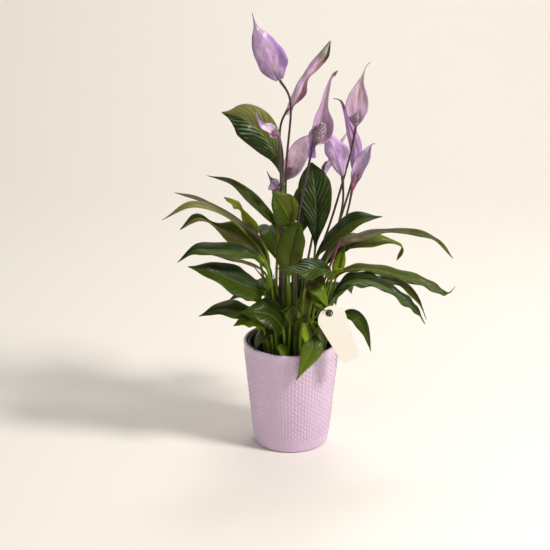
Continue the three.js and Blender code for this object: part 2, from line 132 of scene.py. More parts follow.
class PotSettings(bpy.types.PropertyGroup):
    base_radius: length_setting("Base radius", "Outer radius at the foot", 0.052)
    wall: length_setting("Wall", "Thickness of the glazed wall", 0.004)
    floor: length_setting("Floor", "Thickness of the glazed floor", 0.006)
    foot_round: length_setting("Foot round", "Round where the wall meets the base", 0.005)
    columns: count_setting("Stud columns", "Columns of studs round the pot", 80, least=12)
    rows: count_setting("Stud rows", "Staggered rows of studs up the wall", 36)
    band_bottom: length_setting("Lower band", "Smooth glaze below the studs", 0.017)
    band_top: length_setting("Upper band", "Smooth glaze above the studs", 0.011)
    stud_height: length_setting("Stud height", "How far a stud stands out of the wall", 0.001)
    glaze: colour_setting("Glaze", "Colour of the satin glaze", paint(214, 187, 214))


class SoilSettings(bpy.types.PropertyGroup):
    plastic: colour_setting("Plastic", "Colour of the grower's pot", paint(26, 24, 26))
    liner_wall: length_setting("Liner wall", "Thickness of the grower's pot", 0.0012)
    liner_rim: length_setting("Liner rim", "Width of its rolled rim", 0.0022)
    liner_rim_depth: length_setting("Rim depth", "Depth of its rolled rim", 0.005)
    drain_holes: count_setting("Drain holes", "Holes in the floor of the grower's pot", 6, least=1)
    peat: colour_setting("Peat", "Colour of the potting soil", paint(40, 29, 22))
    crumbs: count_setting("Crumbs", "Loose crumbs on the soil", 900, least=1)


class LeafSettings(bpy.types.PropertyGroup):
    stalk_radius: length_setting("Stalk", "Radius of a leaf stalk", 0.0016)
    foot_radius: length_setting("Stalk foot", "Radius of a leaf stalk at the soil", 0.0021)
    blade_half: length_setting("Blade", "Half the thickness of a blade", 0.00035)
    around: count_setting("Points around", "Mesh points around a leaf", 44, least=8)
    stations: count_setting("Stations", "Mesh rings along a blade", 90, least=8)
    veins: FloatProperty(name="Veins", description="Side veins on each half of a blade", default=11.0)
    sweep: FloatProperty(name="Sweep", description="How far a side vein runs towards the tip", default=0.36)


class FlowerSettings(bpy.types.PropertyGroup):
    stalk_radius: length_setting("Stalk", "Radius of a flower stalk", 0.0014)
    spadix_radius: length_setting("Spadix", "Radius of the spadix", 0.0036)
    spathe_half: length_setting("Spathe", "Half the thickness of a spathe", 0.0003)
    around: count_setting("Points around", "Mesh points around a spathe", 48, least=8)
    stations: count_setting("Stations", "Mesh rings along a spathe", 80, least=8)
    florets: count_setting("Florets", "Florets on a spadix", 110)


class TagSettings(bpy.types.PropertyGroup):
    width: length_setting("Width", "Widest part of the card", 0.041)
    foot_width: length_setting("Foot width", "Width of the card's foot", 0.027)
    length: length_setting("Length", "Length of the card", 0.083)
    thickness: length_setting("Thickness", "Thickness of the card", 0.0008)
    tie_radius: length_setting("Tie", "Radius of the tie", 0.0007)
    card: colour_setting("Card", "Colour of the card", paint(236, 230, 219))


class StageSettings(bpy.types.PropertyGroup):
    distance: length_setting("Distance", "Camera to the plant's middle", 2.634)
    elevation: FloatProperty(
        name="Elevation", description="How far the camera looks down", default=math.radians(19.7),
        subtype="ANGLE")
    aim_sideways: length_setting("Aim sideways", "Where the camera aims, from the pot's axis", -0.023)
    lens: FloatProperty(name="Lens", description="Focal length", default=124.4, unit="CAMERA")
    floor: colour_setting("Floor", "Colour of the floor", paint(241, 236, 229))


SETTINGS = {
    "lily_pot": PotSettings,
    "lily_soil": SoilSettings,
    "lily_leaf": LeafSettings,
    "lily_flower": FlowerSettings,
    "lily_tag": TagSettings,
    "lily_stage": StageSettings,
}


# ---------------------------------------------------------------- meshes


def finished(name, bm, material, replaces=(), flat_shaded=False):
    """Turns a bmesh into a named piece that rides on the plant's one body."""
    mesh = bpy.data.meshes.new(name)
    bm.to_mesh(mesh)
    bm.free()
    mesh.polygons.foreach_set("use_smooth", [not flat_shaded] * len(mesh.polygons))
    piece = bpy.data.objects.new(name, mesh)
    bpy.context.scene.collection.objects.link(piece)
    mesh.materials.append(material)
    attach(piece, BODY)
    if replaces:
        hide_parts(*replaces)
    return piece


def spun(bm, outline, steps):
    """Turns an outline of (radius, height) points round the Z axis. Points on the axis stay single."""
    corners = [bm.verts.new((radius, 0, z)) for radius, z in outline]
    edges = [bm.edges.new(pair) for pair in zip(corners, corners[1:])]
    bmesh.ops.spin(
        bm, geom=corners + edges, cent=(0, 0, 0), axis=(0, 0, 1), angle=2 * math.pi, steps=steps,
        use_merge=True)
    bmesh.ops.remove_doubles(bm, verts=bm.verts, dist=MERGE_DISTANCE)
    bmesh.ops.recalc_face_normals(bm, faces=bm.faces)


def arc(centre_radius, centre_z, round_radius, from_degrees, to_degrees, steps):
    """Points of a round corner in an outline."""
    points = []
    for i in range(steps + 1):
        angle = math.radians(between(from_degrees, to_degrees, i / steps))
        out, up = round_radius * math.cos(angle), round_radius * math.sin(angle)
        points.append((centre_radius + out, centre_z + up))
    return points


class Spine:
    """A smooth curve through points. Its places run from 0 to 1, an even share for each span."""

    def __init__(self, points):
        self.points = [2 * points[0] - points[1], *points, 2 * points[-1] - points[-2]]
        self.spans = len(points) - 1

    def _span(self, along):
        scaled = clamp(along) * self.spans
        index = min(int(scaled), self.spans - 1)
        before, start, end, after = self.points[index:index + 4]
        leave, arrive = (end - before) / 2, (after - start) / 2
        square = 3 * (end - start) - 2 * leave - arrive
        cube = 2 * (start - end) + leave + arrive
        return scaled - index, start, leave, square, cube

    def point(self, along):
        t, start, leave, square, cube = self._span(along)
        return start + leave * t + square * t * t + cube * t ** 3

    def tangent(self, along):
        t, _, leave, square, cube = self._span(along)
        return (leave + 2 * square * t + 3 * cube * t * t).normalized()

    def across(self, along, lean, roll):
        """The way across a blade that leans towards an azimuth, and the way its upper side looks."""
        tangent = self.tangent(along)
        side = Vector((-math.sin(lean), math.cos(lean), 0))
        side = (side - tangent * side.dot(tangent)).normalized()
        side.rotate(Matrix.Rotation(roll, 3, tangent))
        return side, tangent.cross(side)


# The angle, in radians, that a flat body is bent through, so that its bend still has a centre
LEAST_BEND = 0.01


def grown(spine, lean, around, stations, section, relief, tint):
    """A closed body grown along a spine, round where it is a stalk and thin where it is a blade.

    section(along) gives its half width, its half thickness, the angle its width is rolled through, how
    flat it is, its roll and how far along its blade it is. relief(blade, across, half, upper) lifts its
    surface, and tint(blade, across, upper) colours it.
    """
    bm = bmesh.new()
    bmesh.ops.create_cone(bm, cap_ends=True, segments=around, radius1=1, radius2=1, depth=1)
    uprights = [edge for edge in bm.edges if edge.verts[0].co.z * edge.verts[1].co.z < 0]
    bmesh.ops.subdivide_edges(bm, edges=uprights, cuts=len(stations) - 2)
    layers = bm.verts.layers
    across_layer = layers.float.new("across")
    blade_layer = layers.float.new("blade")
    upper_layer = layers.float.new("upper")
    tint_layer = layers.float_color.new("tint")
    rings = []
    for along in stations:
        half, thick, curl, flat, roll, blade = section(along)
        rings.append((spine.point(along), *spine.across(along, lean, roll), half, thick, curl, flat, blade))
    for vert in bm.verts:
        ring = round((vert.co.z + 0.5) * (len(stations) - 1))
        centre, side, face, half, thick, curl, flat, blade = rings[ring]
        turn = math.atan2(vert.co.y, vert.co.x)
        share = between(math.cos(turn), 1 - 2 * abs(turn) / math.pi, flat)
        upper = between(math.sin(turn), math.copysign(max(0.0, 1 - share ** 4) ** 0.5, turn), flat)
        bend = max(curl, LEAST_BEND)
        radius = 2 * half / bend
        lift = upper * thick + flat * relief(blade, share, half, upper)
        angle = share * bend / 2
        vert.co = centre + side * ((radius - lift) * math.sin(angle))
        vert.co += face * (radius - (radius - lift) * math.cos(angle))
        vert[across_layer] = share
        vert[blade_layer] = blade
        vert[upper_layer] = upper
        vert[tint_layer] = (*tint(blade, share, upper), 1)
    bmesh.ops.recalc_face_normals(bm, faces=bm.faces)
    return bm


def no_relief(blade, across, half, upper):
    return 0.0


def even_stations(low, high, count):
    return [between(low, high, i / (count - 1)) for i in range(count)]


def flowing(values):
    """A smooth change along a blade, from values at even steps from its start to its tip."""
    curve = Spine([Vector((value, 0, 0)) for value in values])
    return lambda along: curve.point(along).x


def plant_point(point):
    """A drawn place, in millimetres sideways and up from the soil, as a place in the frame."""
    x, y, up = point
    low, high = CAD_BOX
    crown = SOIL_TOP.x / (DRAWN_SOIL_RADIUS * MM)
    plant = (high.x - low.x) / (DRAWN_SPREAD * MM)
    rise = (high.z - SOIL_TOP.z) / (DRAWN_HEIGHT * MM)
    spread = between(crown, plant, smooth(up, 0, CROWN_HEIGHT))
    return Vector((x * spread * MM, y * spread * MM, SOIL_TOP.z + up * rise * MM))


# ---------------------------------------------------------------- shader parts


class Shader:
    """A node tree being wired. Inputs take numbers, colours or other nodes' sockets."""

    # The Mix node's colour sockets share their names with its number sockets, so they go by place
    MIX_A = 6
    MIX_B = 7
    MIX_RESULT = 2

    def __init__(self, tree):
        self.tree = tree

    def node(self, kind, inputs=None, **values):
        made = self.tree.nodes.new(kind)
        for key, value in values.items():
            setattr(made, key, value)
        for key, value in (inputs or {}).items():
            self.feed(made.inputs[key], value)
        return made

    def feed(self, socket, value):
        if isinstance(value, bpy.types.NodeSocket):
            self.tree.links.new(value, socket)
        elif isinstance(value, tuple) and len(value) == 3 and socket.type == "RGBA":
            socket.default_value = (*value, 1)
        else:
            socket.default_value = value

    def math(self, operation, *values, clamped=False):
        inputs = dict(enumerate(values))
        return self.node("ShaderNodeMath", inputs, operation=operation, use_clamp=clamped).outputs[0]

    def times(self, *values, clamped=False):
        return self.math("MULTIPLY", *values, clamped=clamped)

    def ramp(self, value, low, high, to_low=0.0, to_high=1.0):
        """An even swell of a value between two places."""
        inputs = {"Value": value, "From Min": low, "From Max": high, "To Min": to_low, "To Max": to_high}
        return self.node("ShaderNodeMapRange", inputs, interpolation_type="SMOOTHSTEP").outputs["Result"]

    def mix(self, share, a, b, blend="MIX"):
        made = self.node("ShaderNodeMix", data_type="RGBA", blend_type=blend)
        self.feed(made.inputs["Factor"], share)
        self.feed(made.inputs[self.MIX_A], a)
        self.feed(made.inputs[self.MIX_B], b)
        return made.outputs[self.MIX_RESULT]

    def stained(self, colour, stain):
        return self.mix(1.0, colour, stain, blend="MULTIPLY")

    def attribute(self, name):
        return self.node("ShaderNodeAttribute", attribute_name=name)

    def place(self, scale=(1, 1, 1)):
        """Object coordinates, stretched."""
        where = self.node("ShaderNodeTexCoord").outputs["Object"]
        return self.node("ShaderNodeMapping", {"Vector": where, "Scale": scale}).outputs["Vector"]

    def speckle(self, scale, detail=2.0, roughness=0.5, stretch=(1, 1, 1)):
        inputs = {"Vector": self.place(stretch), "Scale": scale, "Detail": detail, "Roughness": roughness}
        return self.node("ShaderNodeTexNoise", inputs).outputs["Fac"]

    def bump(self, height, strength, distance):
        inputs = {"Height": height, "Strength": strength, "Distance": distance}
        return self.node("ShaderNodeBump", inputs).outputs["Normal"]


def new_material(name, **constants):
    """A material with a Principled shader and its wiring help. Constants go on the shader's own sockets."""
    material = bpy.data.materials.new(name)
    material.use_nodes = True
    shader = Shader(material.node_tree)
    surface = material.node_tree.nodes["Principled BSDF"]
    for socket, value in constants.items():
        shader.feed(surface.inputs[socket.replace("_", " ")], value)
    return material, shader, surface


def new_group(name, inputs, outputs):
    """A node group with named numbers in, with their defaults, and named masks out."""
    group = bpy.data.node_groups.new(name, "ShaderNodeTree")
    for label, default in inputs:
        socket = group.interface.new_socket(label, in_out="INPUT", socket_type="NodeSocketFloat")
        socket.default_value = default
    for label in outputs:
        group.interface.new_socket(label, in_out="OUTPUT", socket_type="NodeSocketFloat")
    shader = Shader(group)
    source = shader.node("NodeGroupInput").outputs
    return group, shader, source


def side_vein_group():
    """Veins that leave a midrib and sweep towards the tip, from the across and blade attributes."""
    inputs = [("Count", 11.0), ("Sweep", 0.2), ("Fineness", 0.1)]
    group, shader, source = new_group("lily_side_veins", inputs, ["Vein", "Rib", "Swell"])
    across = shader.math("ABSOLUTE", shader.attribute("across").outputs["Fac"])
    blade = shader.attribute("blade").outputs["Fac"]
    swept = shader.times(shader.math("POWER", across, 0.8), source["Sweep"])
    place = shader.times(shader.math("SUBTRACT", blade, swept), source["Count"])
    saw = shader.math("ABSOLUTE", shader.math("SUBTRACT", shader.math("FRACT", place), 0.5))
    swell = shader.math("SUBTRACT", 1.0, shader.times(saw, 2.0))
    vein = shader.ramp(swell, 0.0, source["Fineness"], 1.0, 0.0)
    on_blade = shader.times(shader.ramp(blade, 0.0, 0.05), shader.ramp(across, 0.97, 0.8))
    rib = shader.ramp(across, 0.02, 0.06, 1.0, 0.0)
    out = shader.node("NodeGroupOutput")
    shader.feed(out.inputs["Vein"], shader.times(vein, on_blade))
    shader.feed(out.inputs["Rib"], rib)
    shader.feed(out.inputs["Swell"], shader.times(swell, on_blade))
    return group


def long_vein_group():
    """Veins that run the length of a spathe and meet at its tip."""
    inputs = [("Count", 9.0), ("Fineness", 0.2)]
    group, shader, source = new_group("lily_long_veins", inputs, ["Vein", "Rib"])
    across = shader.math("ABSOLUTE", shader.attribute("across").outputs["Fac"])
    place = shader.math("FRACT", shader.times(across, source["Count"]))
    saw = shader.math("ABSOLUTE", shader.math("SUBTRACT", place, 0.5))
    near = shader.math("SUBTRACT", 1.0, shader.times(saw, 2.0))
    out = shader.node("NodeGroupOutput")
    shader.feed(out.inputs["Vein"], shader.ramp(near, 0.0, source["Fineness"], 1.0, 0.0))
    shader.feed(out.inputs["Rib"], shader.ramp(across, 0.015, 0.07, 1.0, 0.0))
    return group


def placed_group(shader, name, make, **values):
    """A node group's outputs. The group is made once, and every material that places it shares it."""
    group = bpy.data.node_groups.get(name) or make()
    made = shader.node("ShaderNodeGroup", node_tree=group)
    for key, value in values.items():
        made.inputs[key].default_value = value
    return made.outputs


# ---------------------------------------------------------------- materials

WHITE = (1, 1, 1)
BLACK = (0, 0, 0)
GLAZE_SHADE = paint(196, 156, 196)
PEAT_FIBRE = paint(92, 66, 44)
RIB_GREEN = paint(168, 184, 84)
EDGE_STRAW = paint(146, 134, 76)
UNDERSIDE_GREEN = paint(128, 140, 66)
# Painted sheen: the pale reflection of the lamps, laid as streaks between the side veins of some leaves
PAINTED_SHEEN_GREY = paint(150, 164, 138)
MOTTLE_PINK = paint(240, 208, 234)
VEIN_PINK = paint(244, 214, 232)
RIB_MAUVE = paint(196, 160, 190)
CARD_SHADE = paint(214, 200, 172)
TARNISH_DARK = paint(40, 38, 28)
TARNISH_PALE = paint(86, 80, 60)
TWINE_DARK = paint(30, 36, 20)
TWINE_PALE = paint(64, 70, 40)


def glaze_material(settings):
    material, shader, surface = new_material(
        "satin_lilac_glaze", Coat_Weight=0.85, Coat_Roughness=0.1, Specular_IOR_Level=0.5)
    lilac = tuple(settings.glaze)
    cloud = shader.speckle(9, detail=2)
    deep = mixed(lilac, GLAZE_SHADE, 0.3)
    colour = shader.mix(shader.ramp(cloud, 0.35, 0.75), lilac, deep)
    stud = shader.attribute("stud").outputs["Fac"]
    pale = mixed(lilac, WHITE, 0.3)
    colour = shader.mix(shader.ramp(stud, 0.2, 1.0, 0.0, 0.5), colour, pale)
    shader.feed(surface.inputs["Base Color"], colour)
    shader.feed(surface.inputs["Roughness"], shader.ramp(shader.speckle(90), 0.3, 0.7, 0.32, 0.42))
    shader.feed(surface.inputs["Normal"], shader.bump(shader.speckle(160, detail=2), 0.06, 0.0005))
    return material


def plastic_material(settings):
    material, shader, surface = new_material("nursery_plastic")
    shader.feed(surface.inputs["Base Color"], tuple(settings.plastic))
    shader.feed(surface.inputs["Roughness"], shader.ramp(shader.speckle(150), 0.3, 0.7, 0.38, 0.6))
    shader.feed(surface.inputs["Normal"], shader.bump(shader.speckle(900), 0.2, 0.0002))
    return material


def peat_material(settings):
    material, shader, surface = new_material("damp_peat", Specular_IOR_Level=0.25)
    peat = tuple(settings.peat)
    fine = shader.speckle(700, detail=5, roughness=0.7)
    colour = shader.mix(shader.ramp(fine, 0.35, 0.7), mixed(peat, BLACK, 0.6), peat)
    fibre = shader.ramp(shader.speckle(160, detail=4, stretch=(1, 3, 1)), 0.62, 0.7)
    colour = shader.mix(shader.times(fibre, 0.5), colour, PEAT_FIBRE)
    shader.feed(surface.inputs["Base Color"], colour)
    shader.feed(surface.inputs["Roughness"], shader.ramp(fine, 0.3, 0.7, 0.75, 1.0))
    shader.feed(surface.inputs["Normal"], shader.bump(fine, 0.6, 0.0008))
    return material


def leaf_material(settings):
    material, shader, surface = new_material(
        "living_leaf", Coat_Weight=0.1, Coat_Roughness=0.2, Specular_IOR_Level=0.12)
    veins = placed_group(
        shader, "lily_side_veins", side_vein_group, Count=settings.veins, Sweep=settings.sweep,
        Fineness=0.2)
    fine = placed_group(
        shader, "lily_side_veins", side_vein_group, Count=settings.veins * 4, Sweep=settings.sweep,
        Fineness=0.5)
    tint = shader.attribute("tint").outputs["Color"]
    across = shader.math("ABSOLUTE", shader.attribute("across").outputs["Fac"])
    blade = shader.attribute("blade").outputs["Fac"]
    upper = shader.ramp(shader.attribute("upper").outputs["Fac"], -0.2, 0.2)
    patches = shader.ramp(shader.speckle(45, detail=3), 0.35, 0.7, 0.0, 0.45)
    colour = shader.mix(patches, tint, shader.stained(tint, (0.5, 0.62, 0.4)))
    # Lighter on the puckers that rise between the side veins: a painted sheen
    colour = shader.mix(shader.times(veins["Swell"], 0.4), colour, shader.stained(tint, (1.5, 1.35, 1.2)))
    colour = shader.mix(shader.times(veins["Vein"], 0.5), colour, shader.stained(tint, (0.4, 0.5, 0.35)))
    pale = shader.mix(0.6, tint, RIB_GREEN)
    on_blade = shader.ramp(blade, 0.0, 0.04)
    rib = shader.times(shader.times(veins["Rib"], on_blade), 0.25)
    colour = shader.mix(rib, colour, pale)
    edge = shader.times(shader.ramp(across, 0.94, 1.0), on_blade)
    colour = shader.mix(shader.times(edge, 0.5), colour, EDGE_STRAW)
    underside = shader.mix(0.4, tint, UNDERSIDE_GREEN)
    colour = shader.mix(upper, underside, colour)
    # Painted sheen: pale streaks between the side veins, as strong as the leaf's streak attribute asks
    painted_sheen = shader.ramp(veins["Swell"], 0.4, 0.9)
    painted_sheen = shader.times(painted_sheen, shader.ramp(fine["Swell"], 0.0, 0.7, 0.55, 1.0))
    painted_sheen = shader.times(painted_sheen, shader.ramp(shader.speckle(34, detail=2), 0.38, 0.6))
    painted_sheen = shader.times(painted_sheen, shader.attribute("streak").outputs["Fac"], clamped=True)
    colour = shader.mix(painted_sheen, colour, PAINTED_SHEEN_GREY)
    shader.feed(surface.inputs["Base Color"], colour)
    smear = shader.speckle(70, detail=3)
    shader.feed(surface.inputs["Roughness"], shader.ramp(smear, 0.3, 0.7, 0.3, 0.46))
    ripple = shader.times(fine["Swell"], 0.3)
    grain = shader.times(shader.speckle(500, detail=3), 0.3)
    height = shader.math("SUBTRACT", shader.math("ADD", ripple, grain), veins["Vein"])
    shader.feed(surface.inputs["Normal"], shader.bump(height, 0.7, 0.0006))
    return material


def spathe_material():
    material, shader, surface = new_material(
        "violet_bract", Sheen_Weight=0.15, Sheen_Roughness=0.4, Coat_Weight=0.25, Coat_Roughness=0.25)
    veins = placed_group(shader, "lily_long_veins", long_vein_group, Count=8.0, Fineness=0.3)
    fine = placed_group(shader, "lily_long_veins", long_vein_group, Count=28.0, Fineness=0.6)
    tint = shader.attribute("tint").outputs["Color"]
    mottle = shader.ramp(shader.speckle(85, detail=4, roughness=0.7, stretch=(1.4, 1.4, 0.5)), 0.4, 0.64)
    colour = shader.mix(shader.times(mottle, 0.6), tint, shader.mix(0.6, tint, MOTTLE_PINK))
    colour = shader.mix(shader.times(veins["Vein"], 0.7), colour, shader.mix(0.6, tint, VEIN_PINK))
    colour = shader.mix(shader.times(fine["Vein"], 0.35), colour, shader.stained(tint, (0.6, 0.46, 0.66)))
    colour = shader.mix(shader.times(veins["Rib"], 0.35), colour, RIB_MAUVE)
    shader.feed(surface.inputs["Base Color"], colour)
    shader.feed(surface.inputs["Roughness"], shader.ramp(mottle, 0.0, 1.0, 0.5, 0.36))
    height = shader.math("ADD", mottle, shader.times(veins["Vein"], 0.5))
    shader.feed(surface.inputs["Normal"], shader.bump(height, 0.7, 0.0007))
    return material


def stalk_material():
    material, shader, surface = new_material("maroon_stalk", Coat_Weight=0.2, Coat_Roughness=0.3)
    tint = shader.attribute("tint").outputs["Color"]
    streak = shader.ramp(shader.speckle(240, detail=3, stretch=(1, 1, 0.08)), 0.35, 0.7, 0.0, 0.5)
    colour = shader.mix(streak, tint, shader.stained(tint, (1.7, 1.4, 1.5)))
    shader.feed(surface.inputs["Base Color"], colour)
    shader.feed(surface.inputs["Roughness"], shader.ramp(streak, 0.0, 0.5, 0.32, 0.48))
    shader.feed(surface.inputs["Normal"], shader.bump(streak, 0.2, 0.0002))
    return material


def card_material(settings):
    material, shader, surface = new_material("ivory_card", Specular_IOR_Level=0.3)
    fibre = shader.speckle(700, detail=5, roughness=0.65)
    card = tuple(settings.card)
    colour = shader.mix(shader.ramp(fibre, 0.3, 0.75), card, mixed(card, CARD_SHADE, 0.1))
    shader.feed(surface.inputs["Base Color"], colour)
    shader.feed(surface.inputs["Roughness"], shader.ramp(fibre, 0.3, 0.7, 0.7, 0.85))
    shader.feed(surface.inputs["Normal"], shader.bump(fibre, 0.25, 0.0002))
    return material


def eyelet_material():
    material, shader, surface = new_material("dark_eyelet", Metallic=0.8)
    tarnish = shader.ramp(shader.speckle(600, detail=3), 0.35, 0.7)
    shader.feed(surface.inputs["Base Color"], shader.mix(tarnish, TARNISH_DARK, TARNISH_PALE))
    shader.feed(surface.inputs["Roughness"], shader.ramp(tarnish, 0.0, 1.0, 0.22, 0.36))
    return material


def tie_material():
    material, shader, surface = new_material("waxed_tie")
    twist = shader.ramp(shader.speckle(900, detail=3, stretch=(1, 1, 3)), 0.35, 0.7)
    shader.feed(surface.inputs["Base Color"], shader.mix(twist, TWINE_DARK, TWINE_PALE))
    shader.feed(surface.inputs["Roughness"], shader.ramp(twist, 0.0, 1.0, 0.4, 0.6))
    shader.feed(surface.inputs["Normal"], shader.bump(twist, 0.5, 0.0003))
    return material


def floor_material(settings):
    """Pale on the side that faces the plant, and clear from behind, so that every side can be seen."""
    material, shader, surface = new_material("pale_floor", Roughness=0.6, Specular_IOR_Level=0.2)
    shader.feed(surface.inputs["Base Color"], tuple(settings.floor))
    behind = shader.node("ShaderNodeNewGeometry").outputs["Backfacing"]
    clear = shader.node("ShaderNodeBsdfTransparent").outputs["BSDF"]
    seen = shader.node("ShaderNodeMixShader", {0: behind, 1: surface.outputs["BSDF"], 2: clear})
    shader.feed(material.node_tree.nodes["Material Output"].inputs["Surface"], seen.outputs["Shader"])
    return material


# ---------------------------------------------------------------- pots and soil

# Shares of a stud's cell: the gap left round it, and how much its corners are cut
STUD_GAP = 0.02
STUD_CORNER = 0.28
STUD_SIDES = 8
# How a stud narrows and rises: steps inwards in shares of its cell, and up in shares of its height
STUD_STEPS = [(0.06, 0.5), (0.1, 0.3), (0.12, 0.15), (0.1, 0.05)]


def add_studs(bm, settings, low, high):
    """Raises faces of the wall's lattice into round studs, every second column half a step higher."""
    stud_layer = bm.verts.layers.float.new("stud")
    step_z = (high - low) / settings.rows
    step_turn = math.pi / settings.columns
    stud_size = min(step_z, step_turn * settings.base_radius)
    raised = []
    for face in bm.faces:
        centre = face.calc_center_median()
        looks_in = face.normal.x * centre.x + face.normal.y * centre.y < 0
        if looks_in or not low < centre.z < high:
            continue
        row = int((centre.z - low) / step_z)
        column = math.floor(math.atan2(centre.y, centre.x) / step_turn)
        if column % 2 == 0 and (row + column // 2) % 2 == 0:
            raised.append(face)
    bmesh.ops.inset_individual(bm, faces=raised, thickness=STUD_GAP * stud_size, use_even_offset=True)
    corners = list({vert for face in raised for vert in face.verts})
    cut = bmesh.ops.bevel(
        bm, geom=corners, offset=STUD_CORNER * stud_size, offset_type="OFFSET", segments=1, profile=0.5,
        affect="VERTICES", material=-1)
    small = set(cut["faces"])
    raised = [face for face in bm.faces if len(face.verts) == STUD_SIDES and face not in small]
    for inset, rise in STUD_STEPS:
        bmesh.ops.inset_individual(
            bm, faces=raised, thickness=inset * stud_size, depth=rise * settings.stud_height,
            use_even_offset=True)
        for face in raised:
            for vert in face.verts:
                vert[stud_layer] += 1 / len(STUD_STEPS)


# Rings of the smooth bands, by how far they stand from the studs, and how far down the inner lip goes
BAND_FAR = 0.008
BAND_NEAR = 0.003
INNER_LIP = 0.02


class LILY_OT_pot(bpy.types.Operator):
    """Turns the glazed pot and raises its studs"""
    bl_idname = "lily.pot"
    bl_label = "Glazed Pot"

    def execute(self, context):
        settings = context.scene.lily_pot
        height, top = POT_TOP.z, POT_TOP.x
        lip = settings.wall / 2
        low, high = settings.band_bottom, height - settings.band_top

        def radius(z):
            return between(settings.base_radius, top, z / height)

        foot = settings.foot_round
        outline = [(0, 0), (0.6 * settings.base_radius, 0)]
        outline += arc(settings.base_radius - foot, foot, foot, -90, 0, 6)
        outline += [(radius(z), z) for z in (low - BAND_FAR, low - BAND_NEAR)]
        outline += [(radius(z), z) for z in even_stations(low, high, settings.rows + 1)]
        outline += [(radius(high + BAND_NEAR), high + BAND_NEAR)]
        outline += arc(radius(height - lip) - lip, height - lip, lip, 0, 180, 12)
        inside = even_stations(height - INNER_LIP, settings.floor, 6)
        outline += [(radius(z) - settings.wall, z) for z in inside]
        outline += [(0.5 * settings.base_radius, settings.floor), (0, settings.floor)]
        bm = bmesh.new()
        spun(bm, outline, 2 * settings.columns)
        add_studs(bm, settings, low, high)
        finished("studded_pot", bm, glaze_material(settings), ["pot"])
        return {"FINISHED"}


# The grower's pot: its rounds, the tuck under its rim, its floor and its drain holes
LINER_FOOT_ROUND = 0.001
RIM_TUCK = 0.0003
RIM_ROUND = 0.0006
RIM_INNER_ROUND = 0.0004
LINER_FLOOR = 0.002
DRAIN_RADIUS = 0.004
DRILL_DEPTH = 0.01


def wall_slope(pot):
    """How far the pot's wall goes out for each metre up."""
    return (POT_TOP.x - pot.base_radius) / POT_TOP.z


class LILY_OT_nursery_pot(bpy.types.Operator):
    """Turns the grower's pot, with its rolled rim and drain holes"""
    bl_idname = "lily.nursery_pot"
    bl_label = "Grower's Pot"

    def execute(self, context):
        settings = context.scene.lily_soil
        wall, rim = settings.liner_wall, settings.liner_rim
        bottom, top, outer_top = LINER_LOW.z, LINER_TOP.z, LINER_TOP.x
        slope = wall_slope(context.scene.lily_pot)
        rim_z = top - settings.liner_rim_depth

        def radius(z):
            return outer_top - rim - (rim_z - z) * slope

        outline = [(0, bottom), (radius(bottom) * 0.35, bottom), (radius(bottom) * 0.85, bottom)]
        foot = LINER_FOOT_ROUND
        outline += arc(radius(bottom) - foot, bottom + foot, foot, -90, 0, 4)
        outline += [(radius(rim_z) - RIM_TUCK, rim_z), (radius(rim_z) + rim * 0.6, rim_z)]
        outline += arc(outer_top - RIM_ROUND, rim_z + RIM_ROUND, RIM_ROUND, -90, 0, 3)
        outline += arc(outer_top - RIM_ROUND, top - RIM_ROUND, RIM_ROUND, 0, 90, 4)
        inner = RIM_INNER_ROUND
        outline += arc(radius(top) - wall + inner, top - inner, inner, 90, 180, 3)
        floor = bottom + LINER_FLOOR
        outline += [(radius(floor) - wall, floor), (0.35 * radius(floor), floor), (0, floor)]
        bm = bmesh.new()
        spun(bm, outline, 96)
        piece = finished("grower_pot", bm, plastic_material(settings), ["nursery_pot"])
        drill = bmesh.new()
        for i in range(settings.drain_holes):
            turn = 2 * math.pi * i / settings.drain_holes
            away = 0.6 * radius(bottom)
            where = Matrix.Translation((away * math.cos(turn), away * math.sin(turn), bottom))
            bmesh.ops.create_cone(
                drill, cap_ends=True, segments=24, radius1=DRAIN_RADIUS, radius2=DRAIN_RADIUS,
                depth=DRILL_DEPTH, matrix=where)
        cut_holes(piece, drill)
        return {"FINISHED"}


def cut_holes(piece, drill):
    """Takes a bmesh of drills away from a piece, and leaves no modifier on it."""
    mesh = bpy.data.meshes.new("drill")
    drill.to_mesh(mesh)
    drill.free()
    tool = bpy.data.objects.new("drill", mesh)
    bpy.context.scene.collection.objects.link(tool)
    cut = piece.modifiers.new("holes", "BOOLEAN")
    cut.operation = "DIFFERENCE"
    cut.object = tool
    shaped = bpy.data.meshes.new_from_object(piece.evaluated_get(bpy.context.evaluated_depsgraph_get()))
    piece.modifiers.clear()
    piece.data = shaped
    bpy.data.objects.remove(tool)


# Peat: its edge, how its top is set below the frame's, and the heights of its lumps and its banked rim
PEAT_EDGE = 0.003
PEAT_SUNK = 0.001
PEAT_LUMP = 0.0011
PEAT_BANK = 0.0022
# Radii of crumbs
CRUMB_LEAST = 0.0005
CRUMB_RANGE = 0.0017
CRUMB_SEED = 7


